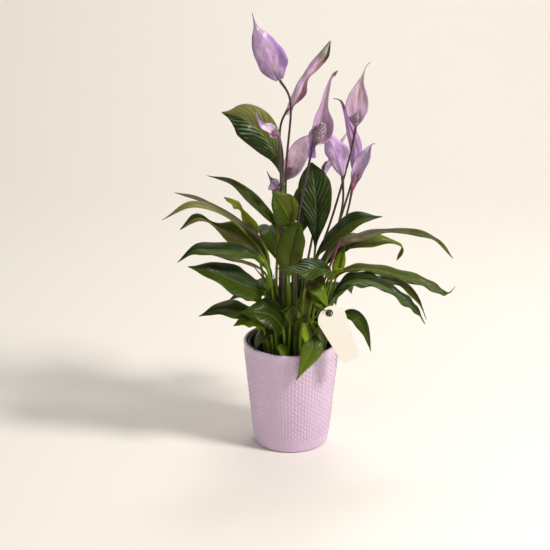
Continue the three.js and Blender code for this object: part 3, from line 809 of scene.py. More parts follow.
class LILY_OT_soil(bpy.types.Operator):
    """Fills the grower's pot with peat and scatters crumbs on it"""
    bl_idname = "lily.soil"
    bl_label = "Potting Soil"

    def execute(self, context):
        settings = context.scene.lily_soil
        edge, low, high = SOIL_TOP.x, SOIL_LOW.z, SOIL_TOP.z
        slope = wall_slope(context.scene.lily_pot)
        outline = [(0, low), (edge - (high - low) * slope, low), (edge, high - PEAT_EDGE)]
        outline += [(edge * share, high - PEAT_SUNK) for share in even_stations(0.985, 0, 34)]
        bm = bmesh.new()
        spun(bm, outline, 110)
        for vert in bm.verts:
            if vert.co.z > high - 2 * PEAT_SUNK:
                lump = noise.fractal(vert.co * 160, 1.0, 2.0, 4)
                bank = PEAT_BANK * smooth(math.hypot(vert.co.x, vert.co.y) / edge, 0.5, 1.0)
                vert.co.z += PEAT_LUMP * lump + bank * noise.noise(vert.co * 60)
        peat = peat_material(settings)
        finished("peat", bm, peat, ["potting_soil"])

        chance = random.Random(CRUMB_SEED)
        crumbs = bmesh.new()
        for _ in range(settings.crumbs):
            away = edge * 0.96 * chance.random() ** 0.5
            turn = chance.uniform(0, 2 * math.pi)
            size = CRUMB_LEAST + CRUMB_RANGE * chance.random() ** 3
            where = Matrix.Translation((away * math.cos(turn), away * math.sin(turn), high + 0.4 * size))
            tumble = Matrix.Rotation(chance.uniform(0, 6), 4, "Z")
            tumble = tumble @ Matrix.Rotation(chance.uniform(0, 6), 4, "X")
            squat = Matrix.Diagonal((1, chance.uniform(0.5, 0.9), chance.uniform(0.4, 0.8), 1))
            bmesh.ops.create_icosphere(crumbs, subdivisions=1, radius=size, matrix=where @ tumble @ squat)
        finished("peat_crumbs", crumbs, peat, flat_shaded=True)
        return {"FINISHED"}


# ---------------------------------------------------------------- leaves

DARK = paint(32, 48, 1)
MIDDLE = paint(54, 72, 3)
OLIVE = paint(76, 84, 16)
PALE_OLIVE = paint(128, 126, 74)
BRIGHT = paint(104, 128, 14)
LIME = paint(142, 160, 40)
# Painted sheen: the lilac grey that a glossy green blade, seen almost edge-on, shows in place of its green
MAUVE_SHEEN = paint(104, 88, 72)
STALK_GREEN = paint(74, 100, 16)
STALK_LIME = paint(128, 154, 44)
TIP_BROWN = paint(88, 62, 36)

# Outlines of blades: shares of the widest, at even steps from the stalk to the tip
OVATE = (0.06, 0.45, 0.78, 0.96, 1.0, 0.95, 0.82, 0.63, 0.41, 0.19, 0.03)
BROAD = (0.06, 0.3, 0.52, 0.73, 0.9, 1.0, 0.99, 0.86, 0.58, 0.22, 0.03)
BLUNT = (0.06, 0.45, 0.75, 0.92, 1.0, 1.0, 0.97, 0.9, 0.72, 0.4, 0.05)
TWISTED = (0.1, 0.6, 0.95, 1.0, 0.8, 0.42, 0.2, 0.34, 0.36, 0.18, 0.03)
LANCE = (0.1, 0.38, 0.64, 0.84, 0.97, 1.0, 0.9, 0.7, 0.42, 0.16, 0.03)

# How steeply a blade's halves rise from its midrib, how soft that fold is, how much their edges sink
# again, and the angle in radians that the whole blade is rolled through
BLADE_FOLD = 0.5
FOLD_SOFTNESS = 0.004
BLADE_DROOP = 0.55
BLADE_CURL = 0.7
# How far, in radians, the waves of the left edge are ahead of those of the right
LEAF_EDGE_SHIFT = 2.1
LEAF_SEED = 100
# Depths of the midrib's groove on the upper side and of its ridge on the lower side
GROOVE_DEPTH = 0.0004
RIDGE_DEPTH = 0.0007
LEAF_TIP_HALF = 0.0003
STALK_STATIONS = 18
YOUNG_FINENESS = 0.6
# How far above the soil's top a stalk starts
FOOT_RISE = Vector((0, 0, 0.0003))

# Each row holds millimetres and degrees. foot is the stalk's place in the crown; points lead up the stalk
# and along the blade, which starts at points[blade]. width is its widest; roll turns it about its midrib,
# from its start to its tip; lean is the azimuth it leans to, where that isn't the way it runs. tint is its
# colour near the stalk and near the tip. painted_light_half is the colour of its left half, painted shade
# where it is darker than tint and painted light where it is paler, and sheen_streaks how much painted
# sheen, pale streaks between the side veins, its two halves have. wave is how far its edges swing, waves
# how many times, and pleat how deep the side veins press it.
LEAVES = [
    dict(
        foot=(-5, -6),
        points=[(-8, -8, 130), (-13, -14, 256), (-33, -22, 308), (-62, -24, 339), (-94, -16, 347)],
        blade=1, width=50, roll=(-70, -75), outline=BROAD, wave=0.05, pleat=0.0014,
        tint=(OLIVE, PALE_OLIVE), painted_light_half=DARK, sheen_streaks=(0.2, 0.8)),
    dict(
        foot=(-21, -1),
        points=[(-21, -1, 110), (-20, 0, 176), (-45, 6, 208), (-80, 12, 239), (-116, 14, 250)],
        blade=1, width=27, roll=(-25, -5), tint=(OLIVE, OLIVE), painted_light_half=MIDDLE),
    dict(
        foot=(-27, -5),
        points=[(-30, -2, 100), (-37, 0, 152), (-74, 4, 188), (-122, 3, 217), (-160, -2, 231)],
        blade=1, width=11, roll=(-20, -30),
        outline=(0.3, 0.6, 0.9, 1.0, 0.95, 0.8, 0.8, 0.9, 0.7, 0.35, 0.05), wave=0.15, tint=(MAUVE_SHEEN, MAUVE_SHEEN),
        sheen_streaks=(0.6, 0.3)),
    dict(
        foot=(-25, -15),
        points=[(-30, -18, 90), (-38, -22, 144), (-81, -32, 200), (-131, -42, 226), (-175, -44, 205)],
        blade=1, width=16, roll=(-10, -10, -20, -20),
        outline=(0.3, 0.5, 0.7, 0.75, 0.7, 0.75, 0.9, 1.0, 0.7, 0.3, 0.04), tint=(OLIVE, PALE_OLIVE),
        sheen_streaks=(0.2, 0.6)),
    dict(
        foot=(-26, 9),
        points=[(-28, 12, 60), (-31, 15, 118), (-66, 23, 155), (-101, 28, 171), (-130, 30, 184),
                (-155, 30, 167)],
        blade=1, width=40, roll=(-45, -50, -45, -10, -45, -50), outline=TWISTED, tint=(OLIVE, MIDDLE),
        painted_light_half=PALE_OLIVE),
    dict(
        foot=(-18, -24),
        points=[(-24, -30, 80), (-38, -42, 145), (-77, -56, 164), (-112, -62, 168), (-132, -64, 168),
                (-154, -66, 152)],
        blade=1, width=36, roll=(-18, -10),
        outline=(0.2, 0.6, 0.92, 1.0, 1.0, 0.97, 0.88, 0.76, 0.5, 0.24, 0.03), tint=(DARK, DARK),
        painted_light_half=MIDDLE),
    dict(
        foot=(-26, -31),
        points=[(-30, -38, 50), (-37, -45, 98), (-70, -58, 118), (-106, -69, 138), (-140, -74, 149)],
        blade=1, width=58, roll=(-30, -24), tint=(DARK, DARK), painted_light_half=MIDDLE),
    dict(
        foot=(-36, -24),
        points=[(-38, -30, 30), (-44, -36, 58), (-70, -45, 73), (-99, -51, 78), (-127, -54, 70)],
        blade=1, width=42, roll=(-20, -14), tint=(MIDDLE, MIDDLE)),
    dict(
        foot=(-37, -12),
        points=[(-38, -12, 40), (-42, -14, 74), (-56, -13, 84), (-72, -12, 86), (-88, -10, 76)],
        blade=1, width=30, roll=(-16, -12), tint=(BRIGHT, MIDDLE)),
    dict(
        foot=(-9, -40),
        points=[(-10, -44, 20), (-12, -52, 48), (-28, -64, 74), (-48, -74, 83), (-69, -80, 86)],
        blade=1, width=54, roll=(-46, -34),
        outline=(0.1, 0.7, 0.95, 1.0, 0.96, 0.84, 0.68, 0.5, 0.32, 0.15, 0.02), tint=(DARK, MIDDLE)),
    dict(
        foot=(22, -13),
        points=[(27, -12, 90), (32, -12, 152), (33, -16, 192), (31, -17, 234), (26, -4, 274)],
        blade=1, width=46, roll=(-16, -10), lean=106,
        outline=(0.05, 0.15, 0.32, 0.52, 0.72, 0.9, 0.98, 1.0, 0.92, 0.6, 0.06), wave=0.05,
        tint=(DARK, DARK), sheen_streaks=(0.15, 0.35)),
    dict(
        foot=(3, -21),
        points=[(4, -25, 100), (0, -28, 184), (-8, -36, 212), (-18, -40, 232), (-27, -41, 246)],
        blade=1, width=44, roll=(-80, -76), outline=OVATE, pleat=0.0012, tint=(OLIVE, OLIVE), painted_light_half=MIDDLE),
    dict(
        foot=(-4, -29),
        points=[(-2, -36, 60), (-4, -41, 122), (-4, -46, 152), (1, -50, 180), (9, -50, 206)],
        blade=1, width=37, roll=(0, 0), lean=86, outline=BLUNT, pleat=0.0012, tint=(OLIVE, MIDDLE)),
    dict(
        foot=(27, -20),
        points=[(31, -20, 80), (33, -20, 140), (54, -27, 172), (86, -34, 200), (122, -38, 208)],
        blade=1, width=38, roll=(32, 22), outline=BROAD, tint=(OLIVE, MIDDLE), painted_light_half=DARK,
        sheen_streaks=(0.1, 0.3)),
    dict(
        foot=(32, -3),
        points=[(38, 0, 80), (48, 3, 133), (75, 10, 156), (95, 12, 161), (129, 14, 170), (171, 14, 168),
                (201, 12, 157), (224, 10, 131)],
        blade=1, width=19, roll=(5, 15, 20, 35, 50, 45, 45),
        outline=(0.15, 0.3, 0.8, 1.0, 0.95, 0.42, 0.5, 0.56, 0.3, 0.36, 0.03), tint=(MAUVE_SHEEN, OLIVE),
        sheen_streaks=(0.6, 0.4)),
    dict(
        foot=(31, 13),
        points=[(38, 22, 80), (52, 22, 130), (84, 26, 144), (116, 32, 150), (143, 38, 145), (154, 40, 137),
                (148, 40, 118)],
        blade=1, width=22, roll=(20, 30, 20, 0, -10),
        outline=(0.15, 0.35, 0.6, 0.85, 1.0, 0.9, 0.75, 0.6, 0.7, 0.5, 0.05), wave=0.2,
        tint=(OLIVE, BRIGHT)),
    dict(
        foot=(38, -8),
        points=[(42, -8, 50), (50, -8, 98), (73, -12, 121), (104, -16, 126), (146, -20, 118),
                (184, -20, 105), (207, -20, 92), (218, -20, 92), (225, -20, 101)],
        blade=1, width=25, roll=(6, 16, 16, 8),
        outline=(0.1, 0.5, 0.75, 0.85, 0.95, 1.0, 0.9, 0.7, 0.25, 0.1, 0.03), wave=0.12, waves=7.3,
        tint=(OLIVE, MIDDLE), sheen_streaks=(0.3, 0.1)),
    dict(
        foot=(38, -21),
        points=[(44, -23, 50), (54, -24, 82), (73, -28, 108), (100, -34, 115), (130, -40, 106),
                (155, -44, 88), (171, -46, 74), (183, -46, 55)],
        blade=1, width=36, roll=(14, 18, 10, 6),
        outline=(0.1, 0.6, 0.95, 1.0, 0.85, 0.6, 0.72, 0.76, 0.56, 0.24, 0.03), wave=0.12, waves=6.2,
        tint=(MIDDLE, MIDDLE), painted_light_half=DARK, sheen_streaks=(0.5, 0.1)),
    dict(
        foot=(44, 0),
        points=[(48, -2, 40), (60, -4, 80), (100, -8, 106), (138, -12, 106), (159, -16, 97), (175, -18, 78),
                (187, -20, 52)],
        blade=1, width=24, roll=(10, 20), outline=(0.2, 0.4, 0.5, 0.6, 0.9, 1.0, 0.9, 0.6, 0.4, 0.2, 0.03),
        wave=0.2, tint=(PALE_OLIVE, OLIVE)),
    dict(
        foot=(30, -31),
        points=[(43, -36, 70), (54, -42, 124), (36, -62, 141), (6, -74, 142), (-23, -78, 148)],
        blade=1, width=42, roll=(-24, -16), wave=0.16, waves=3.5, pleat=0.0024, tint=(DARK, DARK),
        painted_light_half=MIDDLE, sheen_streaks=(0.5, 0.3)),
    dict(
        foot=(18, -36),
        points=[(24, -38, 40), (31, -37, 74), (35, -36, 94), (38, -35, 114), (42, -35, 134)],
        blade=1, width=26, roll=(0, 10), lean=60, tint=(OLIVE, MIDDLE)),
    dict(
        foot=(44, -15),
        points=[(52, -20, 34), (66, -25, 60), (87, -30, 60), (102, -33, 38), (110, -33, 10)],
        blade=1, width=25, roll=(24, 30), tint=(MIDDLE, MIDDLE)),
    dict(
        foot=(7, 29), points=[(9, 34, 90), (14, 42, 158), (24, 66, 196), (34, 92, 214), (42, 118, 208)],
        blade=1, width=46, roll=(0, 0), tint=(DARK, MIDDLE)),
    dict(
        foot=(-7, 27),
        points=[(-10, 34, 60), (-15, 44, 112), (-22, 72, 142), (-30, 102, 148), (-36, 130, 132)],
        blade=1, width=48, roll=(0, 0), tint=(MIDDLE, DARK)),
    dict(
        foot=(-17, 20),
        points=[(-24, 30, 60), (-34, 42, 104), (-56, 66, 130), (-78, 88, 132), (-98, 106, 112)],
        blade=1, width=42, roll=(0, 0), tint=(DARK, DARK)),
    dict(
        foot=(-32, 20), points=[(-38, 26, 34), (-44, 36, 58), (-60, 56, 72), (-74, 76, 70), (-88, 96, 54)],
        blade=1, width=38, roll=(0, 0), tint=(MIDDLE, DARK)),
    dict(
        foot=(26, 24), points=[(34, 32, 60), (46, 42, 108), (72, 62, 134), (98, 82, 138), (124, 100, 120)],
        blade=1, width=44, roll=(0, 0), tint=(DARK, MIDDLE)),
    dict(
        foot=(14, 36), points=[(17, 44, 34), (22, 56, 68), (30, 82, 92), (38, 108, 94), (46, 134, 74)],
        blade=1, width=44, roll=(0, 0), tint=(MIDDLE, MIDDLE)),
    dict(
        foot=(-14, 36),
        points=[(-18, 44, 24), (-25, 56, 48), (-37, 80, 66), (-49, 104, 64), (-60, 126, 42)],
        blade=1, width=38, roll=(0, 0), tint=(DARK, DARK)),
    dict(
        foot=(40, 16), points=[(46, 22, 34), (54, 34, 58), (66, 56, 70), (78, 78, 66), (88, 100, 46)],
        blade=1, width=36, roll=(0, 0), tint=(MIDDLE, DARK)),
    dict(
        foot=(2, 38), points=[(3, 46, 20), (2, 58, 40), (-3, 84, 56), (-8, 108, 50), (-12, 130, 26)],
        blade=1, width=34, roll=(0, 0), tint=(OLIVE, MIDDLE)),
    dict(
        foot=(33, 32), points=[(37, 40, 20), (42, 50, 38), (50, 70, 50), (58, 92, 46), (66, 112, 24)],
        blade=1, width=34, roll=(0, 0), tint=(DARK, DARK)),
]

# The leaf that hangs over the lip. Its points go by azimuth, out from the pot's wall, and up from its lip
OVERHANGING = dict(
    foot=(26, -42), azimuth=(-64, -69, -75, -85), out=(-6, 11, 11, 8), up=(24, 17, -3, -33),
    blade=0, width=30, roll=(0, 10), lean=-76, tint=(MIDDLE, BRIGHT), sheen_streaks=(0.1, 0.3),
    outline=(0.2, 0.62, 0.84, 0.96, 1.0, 0.95, 0.82, 0.63, 0.41, 0.19, 0.03))


def overhanging_points(pot):
    points = []
    for azimuth, out, up in zip(OVERHANGING["azimuth"], OVERHANGING["out"], OVERHANGING["up"]):
        z = POT_TOP.z + up * MM
        radius = between(pot.base_radius, POT_TOP.x, min(z, POT_TOP.z) / POT_TOP.z) + out * MM
        turn = math.radians(azimuth)
        points.append(Vector((radius * math.cos(turn), radius * math.sin(turn), z)))
    return points


def leaf_body(row, points, settings, number, young=False):
    """One leaf, its stalk and blade together, with its own small differences."""
    chance = random.Random(LEAF_SEED + number)
    foot = plant_point((*row["foot"], 0)) + FOOT_RISE
    spine = Spine([foot, *points])
    blade_from = (row["blade"] + 1) / len(points)
    start, end = points[row["blade"]], points[-1]
    lean = math.atan2(end.y - start.y, end.x - start.x)
    if "lean" in row:
        lean = math.radians(row["lean"])
    width_at = flowing(row.get("outline", OVATE))
    roll_at = flowing(row["roll"])
    width = row["width"] * MM
    wave, waves = row.get("wave", 0.07), row.get("waves", 2.6)
    pleat = row.get("pleat", 0.0011)
    phase = chance.uniform(0, 2 * math.pi)
    near, far = row["tint"]
    painted_light_half = row.get("painted_light_half")
    sheen_right, sheen_left = row.get("sheen_streaks", (0, 0))
    stalk_tint = mixed(STALK_GREEN, STALK_LIME, chance.random())

    def section(along):
        blade = max(0.0, (along - blade_from) / (1 - blade_from))
        stalk = between(settings.foot_radius, settings.stalk_radius, min(1, along / blade_from))
        half = width * max(0, width_at(blade)) / 2 if blade > 0 else 0
        flat = smooth(blade, 0, 0.06)
        half = max(half, between(stalk, LEAF_TIP_HALF, smooth(blade, 0, 1)))
        thick = between(stalk, settings.blade_half, smooth(blade, 0, 0.12))
        return half, thick, BLADE_CURL * smooth(blade, 0, 0.2), flat, math.radians(roll_at(blade)), blade

    def relief(blade, across, half, upper):
        reach = abs(across)
        wings = half * (BLADE_FOLD * (reach ** 2 + FOLD_SOFTNESS) ** 0.5 - BLADE_DROOP * reach ** 2)
        swing = math.sin(2 * math.pi * waves * blade + phase + (LEAF_EDGE_SHIFT if across > 0 else 0))
        edge = half * wave * reach ** 1.7 * swing * smooth(blade, 0.04, 0.2)
        place = settings.veins * (blade - settings.sweep * reach ** 0.8)
        swell = abs(math.sin(math.pi * place)) ** 0.7
        inner = smooth(reach, 0.02, 0.3) * (1 - reach ** 4)
        on_blade = inner * smooth(blade, 0.02, 0.12) * (1 - blade ** 4)
        rib = math.exp(-(across / 0.05) ** 2) * (1 - blade)
        groove = -GROOVE_DEPTH * rib if upper > 0 else -RIDGE_DEPTH * rib
        return (wings + edge) * smooth(blade, 0, 0.15) + pleat * swell * on_blade + groove

    def tint(blade, across, upper):
        if blade <= 0:
            return stalk_tint
        shade = mixed(near, far, smooth(blade, 0.1, 0.9))
        # Painted light and shade: the left half of the folded blade takes its own colour, darker than tint
        # where that half is shaded and paler where it is lit
        if painted_light_half:
            shade = mixed(shade, painted_light_half, smooth(across, -0.03, 0.03))
        shade = mixed(stalk_tint, shade, smooth(blade, 0.0, 0.08))
        return mixed(shade, TIP_BROWN, smooth(blade, 0.94, 1.0) * 0.9)

    fineness = YOUNG_FINENESS if young else 1
    stations = even_stations(0, blade_from, STALK_STATIONS)[:-1]
    stations += even_stations(blade_from, 1, round(settings.stations * fineness))
    around = 4 * round(settings.around * fineness / 4)
    bm = grown(spine, lean, around, stations, section, relief, tint)
    # How much painted sheen each half of the upper side gets, kept as the streak attribute
    layers = bm.verts.layers
    sheen_layer = layers.float.new("streak")
    for vert in bm.verts:
        if vert[layers.float["upper"]] > 0:
            left_half = smooth(vert[layers.float["across"]], -0.05, 0.05)
            vert[sheen_layer] = between(sheen_right, sheen_left, left_half)
    return bm


class LILY_OT_leaves(bpy.types.Operator):
    """Grows every leaf of the frame, stalk and blade together"""
    bl_idname = "lily.leaves"
    bl_label = "Leaves"

    def execute(self, context):
        settings = context.scene.lily_leaf
        material = leaf_material(settings)
        for number, row in enumerate([*LEAVES, OVERHANGING], start=1):
            if row is OVERHANGING:
                points = overhanging_points(context.scene.lily_pot)
            else:
                points = [plant_point(point) for point in row["points"]]
            bm = leaf_body(row, points, settings, number)
            finished(f"grown_leaf_{number:02d}", bm, material, [f"leaf_{number:02d}"])
        return {"FINISHED"}


# ---------------------------------------------------------------- flowers

VIOLET = paint(186, 144, 204)
MAUVE_VIOLET = paint(166, 132, 176)
BRIGHT_VIOLET = paint(166, 116, 216)
DEEP_VIOLET = paint(120, 74, 156)
LILAC = paint(208, 184, 220)
WHITE_LILAC = paint(236, 222, 238)
MAUVE_PINK = paint(200, 160, 190)
TAUPE = paint(196, 168, 178)
PINK = paint(226, 176, 198)
SALMON = paint(232, 190, 180)
PALE_SALMON = paint(244, 212, 204)
LEAF_GREEN = paint(110, 122, 34)
GREY_GREEN = paint(112, 112, 92)
MAROON = paint(88, 44, 50)
PLUM = paint(96, 52, 84)
CRIMSON = paint(140, 44, 78)
BLACK_BROWN = paint(34, 22, 22)
TAIL_BROWN = paint(74, 48, 44)

# Each row holds millimetres and degrees. foot is the stalk's place in the crown, stalk holds points up the
# stalk, and spathe points from the spathe's start to its tip. width is the spathe's flat width, curl the
# angle it is rolled through, and faces the azimuth that its open side looks to. spadix gives the shares of
# the spathe between which the spadix stands, and spadix_size how big it is. keel is how far up the back a
# dark rib goes, lobe where the left edge turns back, and wave and waves are as in a leaf's row.
# outside and inside are the spathe's colours; left is that of the outside's left half, edge of the right
# and the left edge, throat of the inside's start, base of the start, and tail of the tip from tail_from on.
# stem is the stalk's colour, and floret holds those of a floret's body and tip.
FLOWERS = [
    dict(
        foot=(-4, 4), stalk=[(-9, 3, 130), (-8, 1, 260), (-2, -8, 355)],
        spathe=[(-17, -17, 392), (-29, -24, 419), (-39, -22, 442), (-48, -18, 463), (-53, -14, 481)],
        width=37, outline=(0.3, 0.86, 1.0, 1.0, 0.86, 0.56, 0.2, 0.06, 0.02), curl=64, faces=95,
        spadix=(0, 0.4), keel=0.2, lobe=(0.02, 0.46), outside=MAUVE_VIOLET, inside=MAUVE_PINK,
        edge=(DEEP_VIOLET, BRIGHT_VIOLET), tail=GREY_GREEN),
    dict(
        foot=(-11, 10), stalk=[(-14, 5, 120), (-15, -3, 245), (-16, 2, 320)],
        spathe=[(-8, 8, 338), (10, 14, 382), (30, 16, 412), (51, 12, 438)],
        width=42, outline=(0.22, 0.4, 0.8, 0.95, 0.78, 0.68, 0.68, 0.72, 0.82, 0.92, 0.8, 0.4, 0.04),
        curl=290, faces=-50, spadix=(0.1, 0.3), wave=0.06, waves=3, outside=PALE_SALMON, inside=PALE_SALMON,
        left=LILAC, edge=(LILAC, PINK), base=PINK, tail=LEAF_GREEN, tail_from=0.72),
    dict(
        foot=(-13, -14), stalk=[(-12, -17, 110), (-14, -20, 205), (-15, -30, 262)],
        spathe=[(-19, -44, 321), (-28, -50, 331), (-38, -52, 337), (-44, -52, 345), (-48, -50, 356)],
        width=17, outline=(0.3, 0.8, 1.0, 1.0, 0.85, 0.5, 0.2, 0.1, 0.04), curl=130, faces=-60,
        spadix=(0, 0.25), spadix_size=0.7, outside=VIOLET, inside=WHITE_LILAC, edge=(LILAC, WHITE_LILAC),
        throat=SALMON, tail=BRIGHT_VIOLET, tail_from=0.55, stem=PLUM),
    dict(
        foot=(8, -31), stalk=[(6, -35, 100), (5, -36, 175), (16, -42, 250)],
        spathe=[(26, -40, 291), (28, -38, 309), (38, -36, 329), (42, -36, 359), (46, -38, 384),
                (51, -41, 401), (59, -44, 411)],
        width=37, outline=(0.3, 0.3, 0.3, 0.84, 1.0, 0.94, 0.46, 0.26, 0.2, 0.14, 0.1, 0.17, 0.03),
        curl=120, faces=-90, spadix=(0.18, 0.38), spadix_size=1.6, outside=DEEP_VIOLET, inside=MAUVE_PINK,
        edge=(LILAC, BRIGHT_VIOLET), base=BRIGHT_VIOLET, tail=GREY_GREEN, tail_from=0.84, stem=PLUM,
        floret=(WHITE_LILAC, MAROON)),
    dict(
        foot=(4, 12), stalk=[(2, 14, 90), (-5, 15, 180), (-9, 15, 212)],
        spathe=[(-9, 19, 243), (-1, 19, 261), (10, 21, 279), (23, 24, 294), (37, 26, 304)],
        width=30, outline=(0.2, 0.7, 0.92, 1.0, 1.0, 0.95, 0.8, 0.5, 0.08), curl=75, faces=-95,
        spadix=(0, 0.25), outside=VIOLET, inside=TAUPE, edge=(WHITE_LILAC, VIOLET), tail=TAUPE, stem=PLUM),
    dict(
        foot=(-18, 6), stalk=[(-16, 10, 110), (-17, 12, 190), (-20, 10, 215)],
        spathe=[(-16, 2, 233), (-22, -2, 242), (-28, -6, 250), (-34, -8, 263)],
        width=22, outline=(0.5, 0.9, 1.0, 0.8, 0.4, 0.12, 0.03), curl=110, faces=-75, spadix=(0, 0.2),
        spadix_size=0.7, wave=0.3, outside=WHITE_LILAC, inside=LILAC, left=WHITE_LILAC,
        edge=(LILAC, WHITE_LILAC), tail=GREY_GREEN, tail_from=0.62),
    dict(
        foot=(16, -4), stalk=[(28, 0, 90), (56, -4, 160), (69, -8, 215)],
        spathe=[(68, -16, 259), (63, -22, 281), (56, -26, 300), (49, -28, 316), (46, -27, 325)],
        width=29, outline=(0.16, 0.6, 0.9, 1.0, 0.95, 0.76, 0.46, 0.2, 0.03), curl=70, faces=95,
        spadix=(0, 0.4), keel=0.2, lobe=(0.2, 0.6), outside=VIOLET, inside=MAUVE_PINK,
        edge=(BRIGHT_VIOLET, LILAC), tail=BRIGHT_VIOLET, stem=BLACK_BROWN),
    dict(
        foot=(10, 2), stalk=[(22, 5, 90), (54, 2, 190), (78, 1, 280)],
        spathe=[(86, 2, 322), (87, 7, 343), (89, 10, 363), (92, 10, 381), (96, 7, 396), (99, 5, 405),
                (104, 1, 411)],
        width=31, outline=(0.1, 0.7, 0.97, 1.0, 0.92, 0.66, 0.36, 0.16, 0.07, 0.05, 0.04, 0.03, 0.02),
        curl=80, faces=-95, spadix=(0, 0.15), spadix_size=0.85, outside=VIOLET, inside=TAUPE,
        edge=(LILAC, VIOLET), throat=MAUVE_PINK, tail=GREY_GREEN, stem=MAROON,
        floret=(WHITE_LILAC, BLACK_BROWN)),
    dict(
        foot=(16, 14), stalk=[(26, 15, 90), (58, 14, 160), (74, 18, 210)],
        spathe=[(86, 20, 256), (85, 24, 284), (80, 27, 307), (73, 28, 331), (67, 25, 350), (61, 22, 356),
                (56, 20, 357)],
        width=23, outline=(0.35, 0.75, 0.95, 1.0, 0.8, 0.54, 0.36, 0.28, 0.2, 0.1, 0.05, 0.03, 0.02),
        curl=110, faces=60, spadix=(0, 0.2), outside=VIOLET, inside=VIOLET, edge=(WHITE_LILAC, DEEP_VIOLET),
        tail=TAIL_BROWN, tail_from=0.56),
    dict(
        foot=(24, -1), stalk=[(38, -6, 80), (62, -11, 155), (76, -7, 205)],
        spathe=[(82, -6, 234), (88, -6, 256), (97, -7, 276), (104, -7, 293), (108, -6, 300),
                (112, -5, 301)],
        width=23, outline=(0.12, 0.4, 0.8, 1.0, 0.96, 0.76, 0.45, 0.22, 0.08, 0.05, 0.03), curl=95,
        faces=235, spadix=(0.06, 0.24), spadix_size=0.7, outside=VIOLET, inside=LILAC,
        edge=(BRIGHT_VIOLET, LILAC), throat=PINK, tail=TAIL_BROWN, tail_from=0.8, stem=CRIMSON),
    dict(
        foot=(12, 22), stalk=[(18, 26, 90), (30, 32, 160), (40, 38, 205)],
        spathe=[(46, 45, 241), (56, 50, 258), (67, 53, 280), (76, 52, 300)],
        width=20, outline=(0.3, 0.75, 1.0, 1.0, 0.85, 0.55, 0.1), curl=110, faces=150, spadix=(0, 0.3),
        outside=LILAC, inside=VIOLET, edge=(WHITE_LILAC, PINK), tail=TAUPE),
]


def facing(row):
    turn = math.radians(row["faces"])
    return Vector((math.cos(turn), math.sin(turn), 0))


def back_azimuth(row):
    return math.radians(row["faces"]) + math.pi


def flower_spine(row):
    return Spine([plant_point(point) for point in row["spathe"]])


# A spathe's narrowest half width, its long ridges, the groove of its rib, the ridge of its keel, how deep
# its skin crumples, and the half widths of the keel's ridge and of its dark colour
SPATHE_LEAST_HALF = 0.0004
RIDGE_HEIGHT = 0.00035
RIDGES = 6.5
RIB_DEPTH = 0.0007
KEEL_HEIGHT = 0.0017
CRUMPLE = 0.0022
KEEL_HALF = 0.0012
KEEL_COLOUR_HALF = 0.0016
# How far a lobe turns back, as a share of the half width
LOBE_TURN = 0.6
SPATHE_EDGE_SHIFT = 1.7
SPATHE_SEED = 300
# Without a keel or a lobe of its own, a row gets these, which leave them out
NO_KEEL = 0.001
NO_LOBE = (2, 3)


def spathe_body(row, settings, number):
    """The hooded bract of one flower."""
    chance = random.Random(SPATHE_SEED + number)
    phase = chance.uniform(0, 2 * math.pi)
    rolled = math.radians(row["curl"])
    width = row["width"] * MM
    width_at = flowing(row["outline"])
    wave, waves = row.get("wave", 0.1), row.get("waves", 2.2)
    keel_to = row.get("keel", NO_KEEL)
    lobe_low, lobe_high = row.get("lobe", NO_LOBE)
    tail_from = row.get("tail_from", 0.8)

    def section(along):
        half = max(width * width_at(along) / 2, SPATHE_LEAST_HALF)
        return half, settings.spathe_half, rolled * smooth(along, 0, 0.12), 1.0, 0.0, along

    def relief(blade, across, half, upper):
        reach = abs(across)
        swing = math.sin(2 * math.pi * waves * blade + phase + (SPATHE_EDGE_SHIFT if across > 0 else 0))
        edge = half * wave * reach ** 2 * swing
        ridges = RIDGE_HEIGHT * math.cos(2 * math.pi * RIDGES * across) * (1 - blade)
        ridges *= smooth(half, 0.002, 0.008)
        keel = -RIB_DEPTH * math.exp(-(across / 0.06) ** 2)
        if upper < 0:
            on_keel = math.exp(-(across * half / KEEL_HALF) ** 2)
            keel -= KEEL_HEIGHT * on_keel * smooth(keel_to - blade, 0, 0.12)
        crumple = CRUMPLE * noise.noise(Vector((across * 2, blade * 6, number * 3.1)))
        crumple *= smooth(half, 0.002, 0.01)
        in_lobe = smooth(blade, lobe_low, lobe_low + 0.2) * smooth(lobe_high - blade, 0, 0.2)
        lobe = -LOBE_TURN * half * in_lobe * smooth(across, 0.5, 1.0) ** 2
        return edge + ridges + keel + crumple + lobe

    def tint(blade, across, upper):
        outer = mixed(row["outside"], row.get("left", row["outside"]), smooth(across, -0.2, 0.1))
        shade = row["inside"] if upper > 0 else outer
        if "throat" in row and upper > 0:
            shade = mixed(row["throat"], shade, smooth(blade + 0.4 * abs(across), 0.2, 0.5))
        if "base" in row:
            shade = mixed(row["base"], shade, smooth(blade, 0.12, 0.24))
        edge = row["edge"][0 if across < 0 else 1]
        shade = mixed(shade, edge, 0.85 * smooth(abs(across), 0.62, 0.95))
        shade = mixed(shade, DEEP_VIOLET, 0.5 * smooth(abs(across), 0.92, 1.0))
        shade = mixed(shade, row["tail"], smooth(blade, tail_from - 0.04, tail_from + 0.08))
        if upper < 0 and blade < keel_to:
            on_keel = math.exp(-(across * width * width_at(blade) / 2 / KEEL_COLOUR_HALF) ** 2)
            keel_tint = mixed(BLACK_BROWN, LEAF_GREEN, smooth(blade, 0.4 * keel_to, keel_to))
            shade = mixed(shade, keel_tint, on_keel)
        return shade

    stations = even_stations(0, 1, settings.stations)
    return grown(flower_spine(row), back_azimuth(row), settings.around, stations, section, relief, tint)


# Gaps between the spathe and the stalk's neck and the spadix, and how far the spadix's tip leans out
NECK_GAP = 0.0008
SPADIX_GAP = 0.0018
SPADIX_LEAN = 0.002
STEM_POINTS = 16


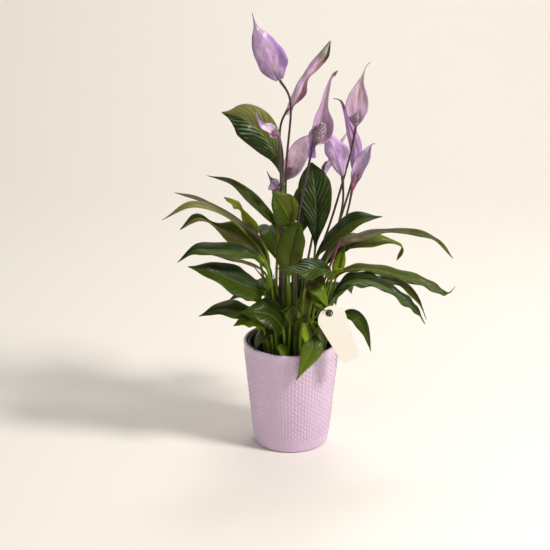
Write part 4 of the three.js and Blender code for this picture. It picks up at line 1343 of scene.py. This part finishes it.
def stem_body(row, settings, number):
    """A flower's stalk and the spadix that ends it, covered with florets."""
    open_side = facing(row)
    bract = flower_spine(row)
    spadix_radius = settings.spadix_radius * row.get("spadix_size", 1)
    neck_place, tip_place = row["spadix"]
    spadix_away = spadix_radius + SPADIX_GAP
    neck = bract.point(neck_place) + open_side * (settings.stalk_radius + NECK_GAP)
    middle = bract.point(between(neck_place, tip_place, 0.55)) + open_side * spadix_away
    tip = bract.point(tip_place) + open_side * (spadix_away + SPADIX_LEAN)
    foot = plant_point((*row["foot"], 0)) + FOOT_RISE
    points = [foot, *(plant_point(point) for point in row["stalk"]), neck, middle, tip]
    spine = Spine(points)
    neck_at = (len(row["stalk"]) + 1) / (len(points) - 1)
    stem_tint = row.get("stem", MAROON)

    def radius_at(along):
        share = max(0.0, (along - neck_at) / (1 - neck_at))
        stalk = between(1.3, 1, min(1, along / neck_at)) * settings.stalk_radius
        stalk *= between(1, 1.4, smooth(along / neck_at, 0.8, 1))
        swollen = between(stalk, spadix_radius, smooth(share, 0.05, 0.5))
        return between(swollen, 0.5 * spadix_radius, smooth(share, 0.6, 1))

    def section(along):
        radius = radius_at(along) * (1 if along < neck_at else 0.8)
        return radius, radius, 0.0, 0.0, 0.0, along

    def tint(along, across, upper):
        shade = mixed(STALK_GREEN, stem_tint, smooth(along, 0.02, 0.25))
        dark = 0.75 * smooth(along, 0.25, 0.5) * (1 - smooth(along, 0.6, neck_at))
        shade = mixed(shade, BLACK_BROWN, dark)
        return mixed(shade, PINK, smooth(along, neck_at, between(neck_at, 1, 0.3)))

    stations = even_stations(0, neck_at, 40)[:-1] + even_stations(neck_at, 1, 24)
    bm = grown(spine, back_azimuth(row), STEM_POINTS, stations, section, no_relief, tint)
    add_florets(bm, spine, neck_at, radius_at, row, settings, number)
    return bm


# A floret's length and the radii of its foot and its tip
FLORET_LENGTH = 0.0026
FLORET_FOOT = 0.0012
FLORET_TIP = 0.0007
FLORET_SEED = 500


def add_florets(bm, spine, neck_at, radius_at, row, settings, number):
    """Small pointed florets set in a spiral up the spadix, dark at their tips."""
    chance = random.Random(FLORET_SEED + number)
    tint_layer = bm.verts.layers.float_color["tint"]
    low = between(neck_at, 1, 0.2)
    golden = math.pi * (3 - 5 ** 0.5)
    pale, dark = row.get("floret", (PINK, PLUM))
    grow = row.get("spadix_size", 1)
    for i in range(settings.florets):
        along = between(low, 1, i / (settings.florets - 1))
        side, face = spine.across(along, 0.0, 0.0)
        out = side * math.cos(i * golden) + face * math.sin(i * golden)
        out = (out + spine.tangent(along) * smooth(along, between(low, 1, 0.6), 1) * 1.2).normalized()
        reach = radius_at(along) * 0.8
        tall = FLORET_LENGTH * between(0.7, 1.2, chance.random()) * grow
        turn = out.to_track_quat("Z", "Y").to_matrix().to_4x4()
        where = Matrix.Translation(spine.point(along) + out * (reach + 0.35 * tall)) @ turn
        made = bmesh.ops.create_cone(
            bm, cap_ends=True, segments=5, radius1=FLORET_FOOT * grow, radius2=FLORET_TIP * grow,
            depth=tall, matrix=where)
        centre = where.translation
        for vert in made["verts"]:
            tip = (vert.co - centre).dot(out) > 0
            vert[tint_layer] = (*mixed(pale, dark, chance.uniform(0.7, 1) if tip else 0.0), 1)


class LILY_OT_flowers(bpy.types.Operator):
    """Grows every flower: its stalk with the spadix, and its spathe"""
    bl_idname = "lily.flowers"
    bl_label = "Flowers"

    def execute(self, context):
        settings = context.scene.lily_flower
        bract_skin, stalk_skin = spathe_material(), stalk_material()
        for number, row in enumerate(FLOWERS, start=1):
            bract = spathe_body(row, settings, number)
            finished(f"violet_spathe_{number:02d}", bract, bract_skin, [f"spathe_{number:02d}"])
            stem = stem_body(row, settings, number)
            replaced = [f"flower_stem_{number:02d}"]
            finished(f"flower_stalk_{number:02d}", stem, stalk_skin, replaced)
        return {"FINISHED"}


# ---------------------------------------------------------------- young growth

# The small leaves that stand out of the crown, in rows like those of LEAVES
YOUNG_LEAVES = [
    dict(
        foot=(-22, 18),
        points=[(-40, 30, 100), (-50, 34, 151), (-57, 40, 168), (-69, 44, 190), (-80, 46, 200),
                (-94, 46, 209)],
        blade=1, width=20, roll=(-55, -60, -30, -50),
        outline=(0.3, 0.8, 1.0, 0.9, 0.6, 0.3, 0.5, 0.7, 0.5, 0.3, 0.05), wave=0.2, waves=4,
        tint=(LIME, LIME)),
    dict(
        foot=(-28, -8), points=[(-34, -12, 80), (-38, -14, 120), (-84, -22, 141), (-128, -28, 154)],
        blade=1, width=20, roll=(0, 0), tint=(PALE_OLIVE, OLIVE)),
    dict(
        foot=(-30, -34), points=[(-36, -46, 40), (-41, -52, 55), (-60, -60, 66), (-80, -64, 60)],
        blade=1, width=28, roll=(-30, -20), wave=0.15, tint=(LIME, BRIGHT)),
    dict(
        foot=(36, 4), points=[(56, 6, 60), (61, 10, 100), (67, 14, 125), (74, 16, 148)],
        blade=1, width=18, roll=(40, 60), tint=(LIME, BRIGHT)),
    dict(
        foot=(30, 2), points=[(44, 0, 70), (50, -4, 104), (62, -8, 116), (76, -10, 124)],
        blade=1, width=17, roll=(30, 40), tint=(BRIGHT, LIME)),
    dict(
        foot=(12, -36), points=[(15, -44, 70), (19, -50, 110), (35, -60, 110), (50, -66, 86)],
        blade=1, width=24, roll=(20, 30), tint=(MIDDLE, BRIGHT), sheen_streaks=(0.3, 0)),
    dict(
        foot=(16, -40), points=[(22, -48, 60), (28, -54, 92), (40, -62, 92), (50, -66, 72)],
        blade=1, width=18, roll=(30, 40), tint=(BRIGHT, MIDDLE)),
    dict(
        foot=(12, -46), points=[(12, -54, 40), (16, -62, 62), (22, -66, 46), (23, -68, 25)],
        blade=1, width=26, roll=(0, 10), tint=(BRIGHT, LIME), painted_light_half=OLIVE),
    dict(
        foot=(24, -44), points=[(28, -52, 34), (34, -58, 54), (42, -62, 44), (46, -62, 26)],
        blade=1, width=22, roll=(10, 20), tint=(BRIGHT, MIDDLE), sheen_streaks=(0.5, 0)),
    dict(
        foot=(-20, -30), points=[(-22, -34, 30), (-24, -36, 43), (-40, -44, 36), (-52, -46, 16)],
        blade=1, width=26, roll=(-10, 0), tint=(MIDDLE, DARK), sheen_streaks=(0.6, 0.2)),
    dict(
        foot=(-30, -22), points=[(-34, -28, 22), (-38, -34, 36), (-46, -38, 30), (-52, -38, 12)],
        blade=1, width=20, roll=(-10, 0), tint=(BRIGHT, MIDDLE)),
    dict(
        foot=(-14, -44), points=[(-15, -50, 16), (-16, -54, 28), (-12, -60, 22), (-8, -62, 8)],
        blade=1, width=18, roll=(0, 10), tint=(OLIVE, BRIGHT)),
]
SHOOTS = 40
SHOOT_TINTS = [DARK, MIDDLE, MIDDLE, OLIVE, OLIVE, BRIGHT]
# Shoots stand this far from the axis, in millimetres, and are shorter the farther out they stand
SHOOTS_FROM = 8
SHOOTS_TO = 42
SHOOT_INNER_HEIGHT = 150
SHOOT_OUTER_HEIGHT = 62
SHOOT_SEED = 23
# Seeds of the small leaves' own differences start here, clear of those of the frame's leaves
YOUNG_NUMBER = 50


def shoot_row(chance):
    """A young upright leaf that stands anywhere in the crown."""
    turn = chance.uniform(-math.pi, math.pi)
    away = between(SHOOTS_FROM, SHOOTS_TO, chance.random() ** 0.7)
    tall = between(SHOOT_INNER_HEIGHT, SHOOT_OUTER_HEIGHT, away / SHOOTS_TO) * chance.uniform(0.75, 1.15)
    spread = chance.uniform(0.12, 0.34) * tall

    def place(share, bow):
        reach = away + spread * bow
        swing = turn + 0.3 * share * chance.uniform(-1, 1)
        return (reach * math.cos(swing), reach * math.sin(swing), tall * share)

    tint = chance.choice(SHOOT_TINTS)
    return dict(
        foot=place(0, 0)[:2],
        points=[place(0.3, 0.08), place(0.55, 0.25), place(0.8, 0.6), place(1, 1.1)],
        blade=0,
        width=chance.uniform(13, 25),
        roll=(chance.uniform(-50, 50), chance.uniform(-30, 30)),
        tint=(tint, mixed(tint, BRIGHT, 0.2)),
        outline=LANCE,
        wave=0.12)


class LILY_OT_young_growth(bpy.types.Operator):
    """Grows the small leaves and shoots of the crown that the frame leaves out"""
    bl_idname = "lily.young_growth"
    bl_label = "Young Growth"

    def execute(self, context):
        settings = context.scene.lily_leaf
        material = bpy.data.materials["living_leaf"]
        chance = random.Random(SHOOT_SEED)
        shoots = [shoot_row(chance) for _ in range(SHOOTS)]
        for number, row in enumerate([*YOUNG_LEAVES, *shoots], start=1):
            points = [plant_point(point) for point in row["points"]]
            bm = leaf_body(row, points, settings, YOUNG_NUMBER + number, young=True)
            finished(f"young_leaf_{number:02d}", bm, material)
        return {"FINISHED"}


# ---------------------------------------------------------------- tag

# The card's middle by azimuth, out from the lip and up from the lip, and its three turns, in
# millimetres and degrees
TAG_PLACE = dict(azimuth=-47, out=27, up=34.5, lean_over=24, lean_back=8, turn=10)
TAG_HOLE_RADIUS = 3.6
TAG_HOLE_INSET = 9
TAG_EDGE_ROUND = 0.12
EYELET_RADIUS = 4.4
# Where the tie runs over the card from below the hole, through it and on: sideways, up and out of the card
TIE_ON_CARD = [(1.5, -8, -2.5), (0.5, -3.5, -2), (0, -0.5, 0.6), (-1, 3.5, 3), (-4, 7, 2)]
# Where it goes from there, in the frame's own directions
TIE_TO_STEMS = [(-6, 4, 0), (-12, 12, -6)]
TIE_STATIONS = 80
TIE_POINTS = 12
TIE_LEAN = 0.3


def tag_matrix():
    turn = math.radians(TAG_PLACE["azimuth"])
    radius = POT_TOP.x + TAG_PLACE["out"] * MM
    where = Vector((radius * math.cos(turn), radius * math.sin(turn), POT_TOP.z + TAG_PLACE["up"] * MM))
    stand = Matrix.Rotation(math.pi / 2 - math.radians(TAG_PLACE["lean_back"]), 4, "X")
    face = Matrix.Rotation(math.radians(TAG_PLACE["turn"]), 4, "Z")
    lean_over = Matrix.Rotation(math.radians(TAG_PLACE["lean_over"]), 4, "Z")
    return Matrix.Translation(where) @ face @ stand @ lean_over


def card_outline(half_width, half_foot, half_length):
    """Places round the card: a round head, straight sides that draw in, and a foot with round corners."""
    head_centre = half_length - half_width
    corner = 0.45 * half_foot
    foot = -half_length
    outline = [(half_foot - corner, foot)]
    outline += [(x, y + foot) for x, y in arc(half_foot - corner, corner, corner, -90, 0, 6)[1:]]
    outline += arc(0, head_centre, half_width, 10, 170, 24)
    outline += [(-x, y + foot) for x, y in arc(half_foot - corner, corner, corner, 0, -90, 6)]
    return outline


class LILY_OT_tag(bpy.types.Operator):
    """Cuts the card tag, sets its eyelet and ties it to the stems"""
    bl_idname = "lily.tag"
    bl_label = "Gift Tag"

    def execute(self, context):
        settings = context.scene.lily_tag
        half_length = settings.length / 2
        hole_y = half_length - TAG_HOLE_INSET * MM
        hole_radius = TAG_HOLE_RADIUS * MM
        curve = bpy.data.curves.new("card", "CURVE")
        curve.dimensions = "2D"
        curve.fill_mode = "BOTH"
        edge_round = TAG_EDGE_ROUND * MM
        curve.extrude = settings.thickness / 2 - edge_round
        curve.bevel_depth = edge_round
        curve.offset = -edge_round
        rim = card_outline(settings.width / 2, settings.foot_width / 2, half_length)
        hole = [(x, hole_y + y) for x, y in arc(0, 0, hole_radius, 0, -360, 32)[:-1]]
        for places in (rim, hole):
            spline = curve.splines.new("POLY")
            spline.points.add(len(places) - 1)
            for point, (x, y) in zip(spline.points, places):
                point.co = (x, y, 0, 1)
            spline.use_cyclic_u = True
        holder = bpy.data.objects.new("card", curve)
        bpy.context.scene.collection.objects.link(holder)
        flat = bpy.data.meshes.new_from_object(holder.evaluated_get(context.evaluated_depsgraph_get()))
        bpy.data.objects.remove(holder)
        bm = bmesh.new()
        bm.from_mesh(flat)
        bmesh.ops.remove_doubles(bm, verts=bm.verts, dist=MERGE_DISTANCE)
        bmesh.ops.transform(bm, matrix=tag_matrix(), verts=bm.verts)
        bmesh.ops.recalc_face_normals(bm, faces=bm.faces)
        finished("card_tag", bm, card_material(settings), ["gift_tag"], flat_shaded=True)

        eyelet = bmesh.new()
        tube = settings.tie_radius * 1.25
        turns = even_stations(0, 2 * math.pi, 13)
        ring = [(EYELET_RADIUS * MM + tube * math.cos(turn), tube * math.sin(turn)) for turn in turns]
        spun(eyelet, ring, 40)
        at_hole = tag_matrix() @ Matrix.Translation((0, hole_y, 0))
        bmesh.ops.transform(eyelet, matrix=at_hole, verts=eyelet.verts)
        finished("tag_eyelet", eyelet, eyelet_material())

        route = [tag_matrix() @ Vector((x * MM, hole_y + y * MM, z * MM)) for x, y, z in TIE_ON_CARD]
        last = route[-1]
        route += [last + Vector(step) * MM for step in TIE_TO_STEMS]
        spine = Spine(route)

        def section(along):
            return settings.tie_radius, settings.tie_radius, 0.0, 0.0, 0.0, 0.0

        def plain(blade, across, upper):
            return BLACK

        stations = even_stations(0, 1, TIE_STATIONS)
        tie = grown(spine, TIE_LEAN, TIE_POINTS, stations, section, no_relief, plain)
        finished("waxed_tie", tie, tie_material(), ["tag_tie"])
        return {"FINISHED"}


# ---------------------------------------------------------------- stage

# The floor: its half size, where it starts to bend up at the back, and the radius of that bend
FLOOR_HALF = 3
BEND_FROM = 1.2
BEND_RADIUS = 0.9
WARM_WHITE = (1.0, 0.97, 0.94)
# Each light's name, place, size, power and colour
LIGHTS = [
    ("key", (1.6, -0.9, 1.9), 0.55, 58, (1.0, 0.97, 0.93)),
    ("sky", (0.2, 1.3, 2.2), 0.9, 17, (1.0, 0.97, 0.92)),
    ("fill", (-1.8, -1.6, 1.2), 1.6, 6, (1.0, 0.95, 0.92)),
]
WORLD_STRENGTH = 0.33
AIM_HEIGHT = 0.4


def area_light(name, where, size, power, colour, aim):
    light = bpy.data.lights.new(name, "AREA")
    light.shape = "DISK"
    light.size = size
    light.energy = power
    light.color = colour
    holder = bpy.data.objects.new(name, light)
    bpy.context.scene.collection.objects.link(holder)
    holder.location = where
    holder.rotation_euler = (Vector(aim) - Vector(where)).to_track_quat("-Z", "Y").to_euler()


class LILY_OT_stage(bpy.types.Operator):
    """Lays the floor, sets the soft lights and places the camera"""
    bl_idname = "lily.stage"
    bl_label = "Stage"

    def execute(self, context):
        settings = context.scene.lily_stage
        scene = context.scene
        bm = bmesh.new()
        bmesh.ops.create_grid(bm, x_segments=40, y_segments=60, size=FLOOR_HALF)
        for vert in bm.verts:
            back = vert.co.y - BEND_FROM
            if back > 0:
                turn = min(back / BEND_RADIUS, math.pi / 2)
                vert.co.y = BEND_FROM + BEND_RADIUS * math.sin(turn)
                vert.co.z = BEND_RADIUS * (1 - math.cos(turn)) + max(0, back - BEND_RADIUS * math.pi / 2)
        floor = finished("floor", bm, floor_material(settings))

        middle = Vector((settings.aim_sideways, 0, AIM_HEIGHT * CAD_BOX[1].z))
        for light in LIGHTS:
            area_light(*light, aim=middle)
        world = bpy.data.worlds.new("studio")
        world.use_nodes = True
        background = world.node_tree.nodes["Background"]
        background.inputs["Color"].default_value = (*WARM_WHITE, 1)
        background.inputs["Strength"].default_value = WORLD_STRENGTH
        scene.world = world
        scene.view_settings.view_transform = "Standard"

        lens = bpy.data.cameras.new("camera")
        lens.lens = settings.lens
        camera = bpy.data.objects.new("camera", lens)
        scene.collection.objects.link(camera)
        down = settings.elevation
        camera.location = middle + Vector((0, -math.cos(down), math.sin(down))) * settings.distance
        camera.rotation_euler = (math.pi / 2 - down, 0, 0)
        scene.camera = camera
        return {"FINISHED"}


# ---------------------------------------------------------------- panel

STEPS = [
    LILY_OT_stage, LILY_OT_pot, LILY_OT_nursery_pot, LILY_OT_soil, LILY_OT_leaves, LILY_OT_young_growth,
    LILY_OT_flowers, LILY_OT_tag,
]


class LILY_PT_panel(bpy.types.Panel):
    """Lists the sizes and colours of the lily and the steps that grow it"""
    bl_idname = "LILY_PT_panel"
    bl_label = "Potted Peace Lily"
    bl_space_type = "VIEW_3D"
    bl_region_type = "UI"
    bl_category = "Lily"

    def draw(self, context):
        for pointer, kind in SETTINGS.items():
            box = self.layout.box()
            settings = getattr(context.scene, pointer)
            for name in kind.__annotations__:
                box.prop(settings, name)
        for step in STEPS:
            self.layout.operator(step.bl_idname)


def register():
    for kind in [*SETTINGS.values(), *STEPS, LILY_PT_panel]:
        bpy.utils.register_class(kind)
    for pointer, kind in SETTINGS.items():
        setattr(bpy.types.Scene, pointer, PointerProperty(type=kind))


def unregister():
    for pointer in SETTINGS:
        delattr(bpy.types.Scene, pointer)
    for kind in reversed([*SETTINGS.values(), *STEPS, LILY_PT_panel]):
        bpy.utils.unregister_class(kind)


def main():
    register()
    for step in STEPS:
        group, name = step.bl_idname.split(".")
        getattr(getattr(bpy.ops, group), name)()


if __name__ == "__main__":
    main()
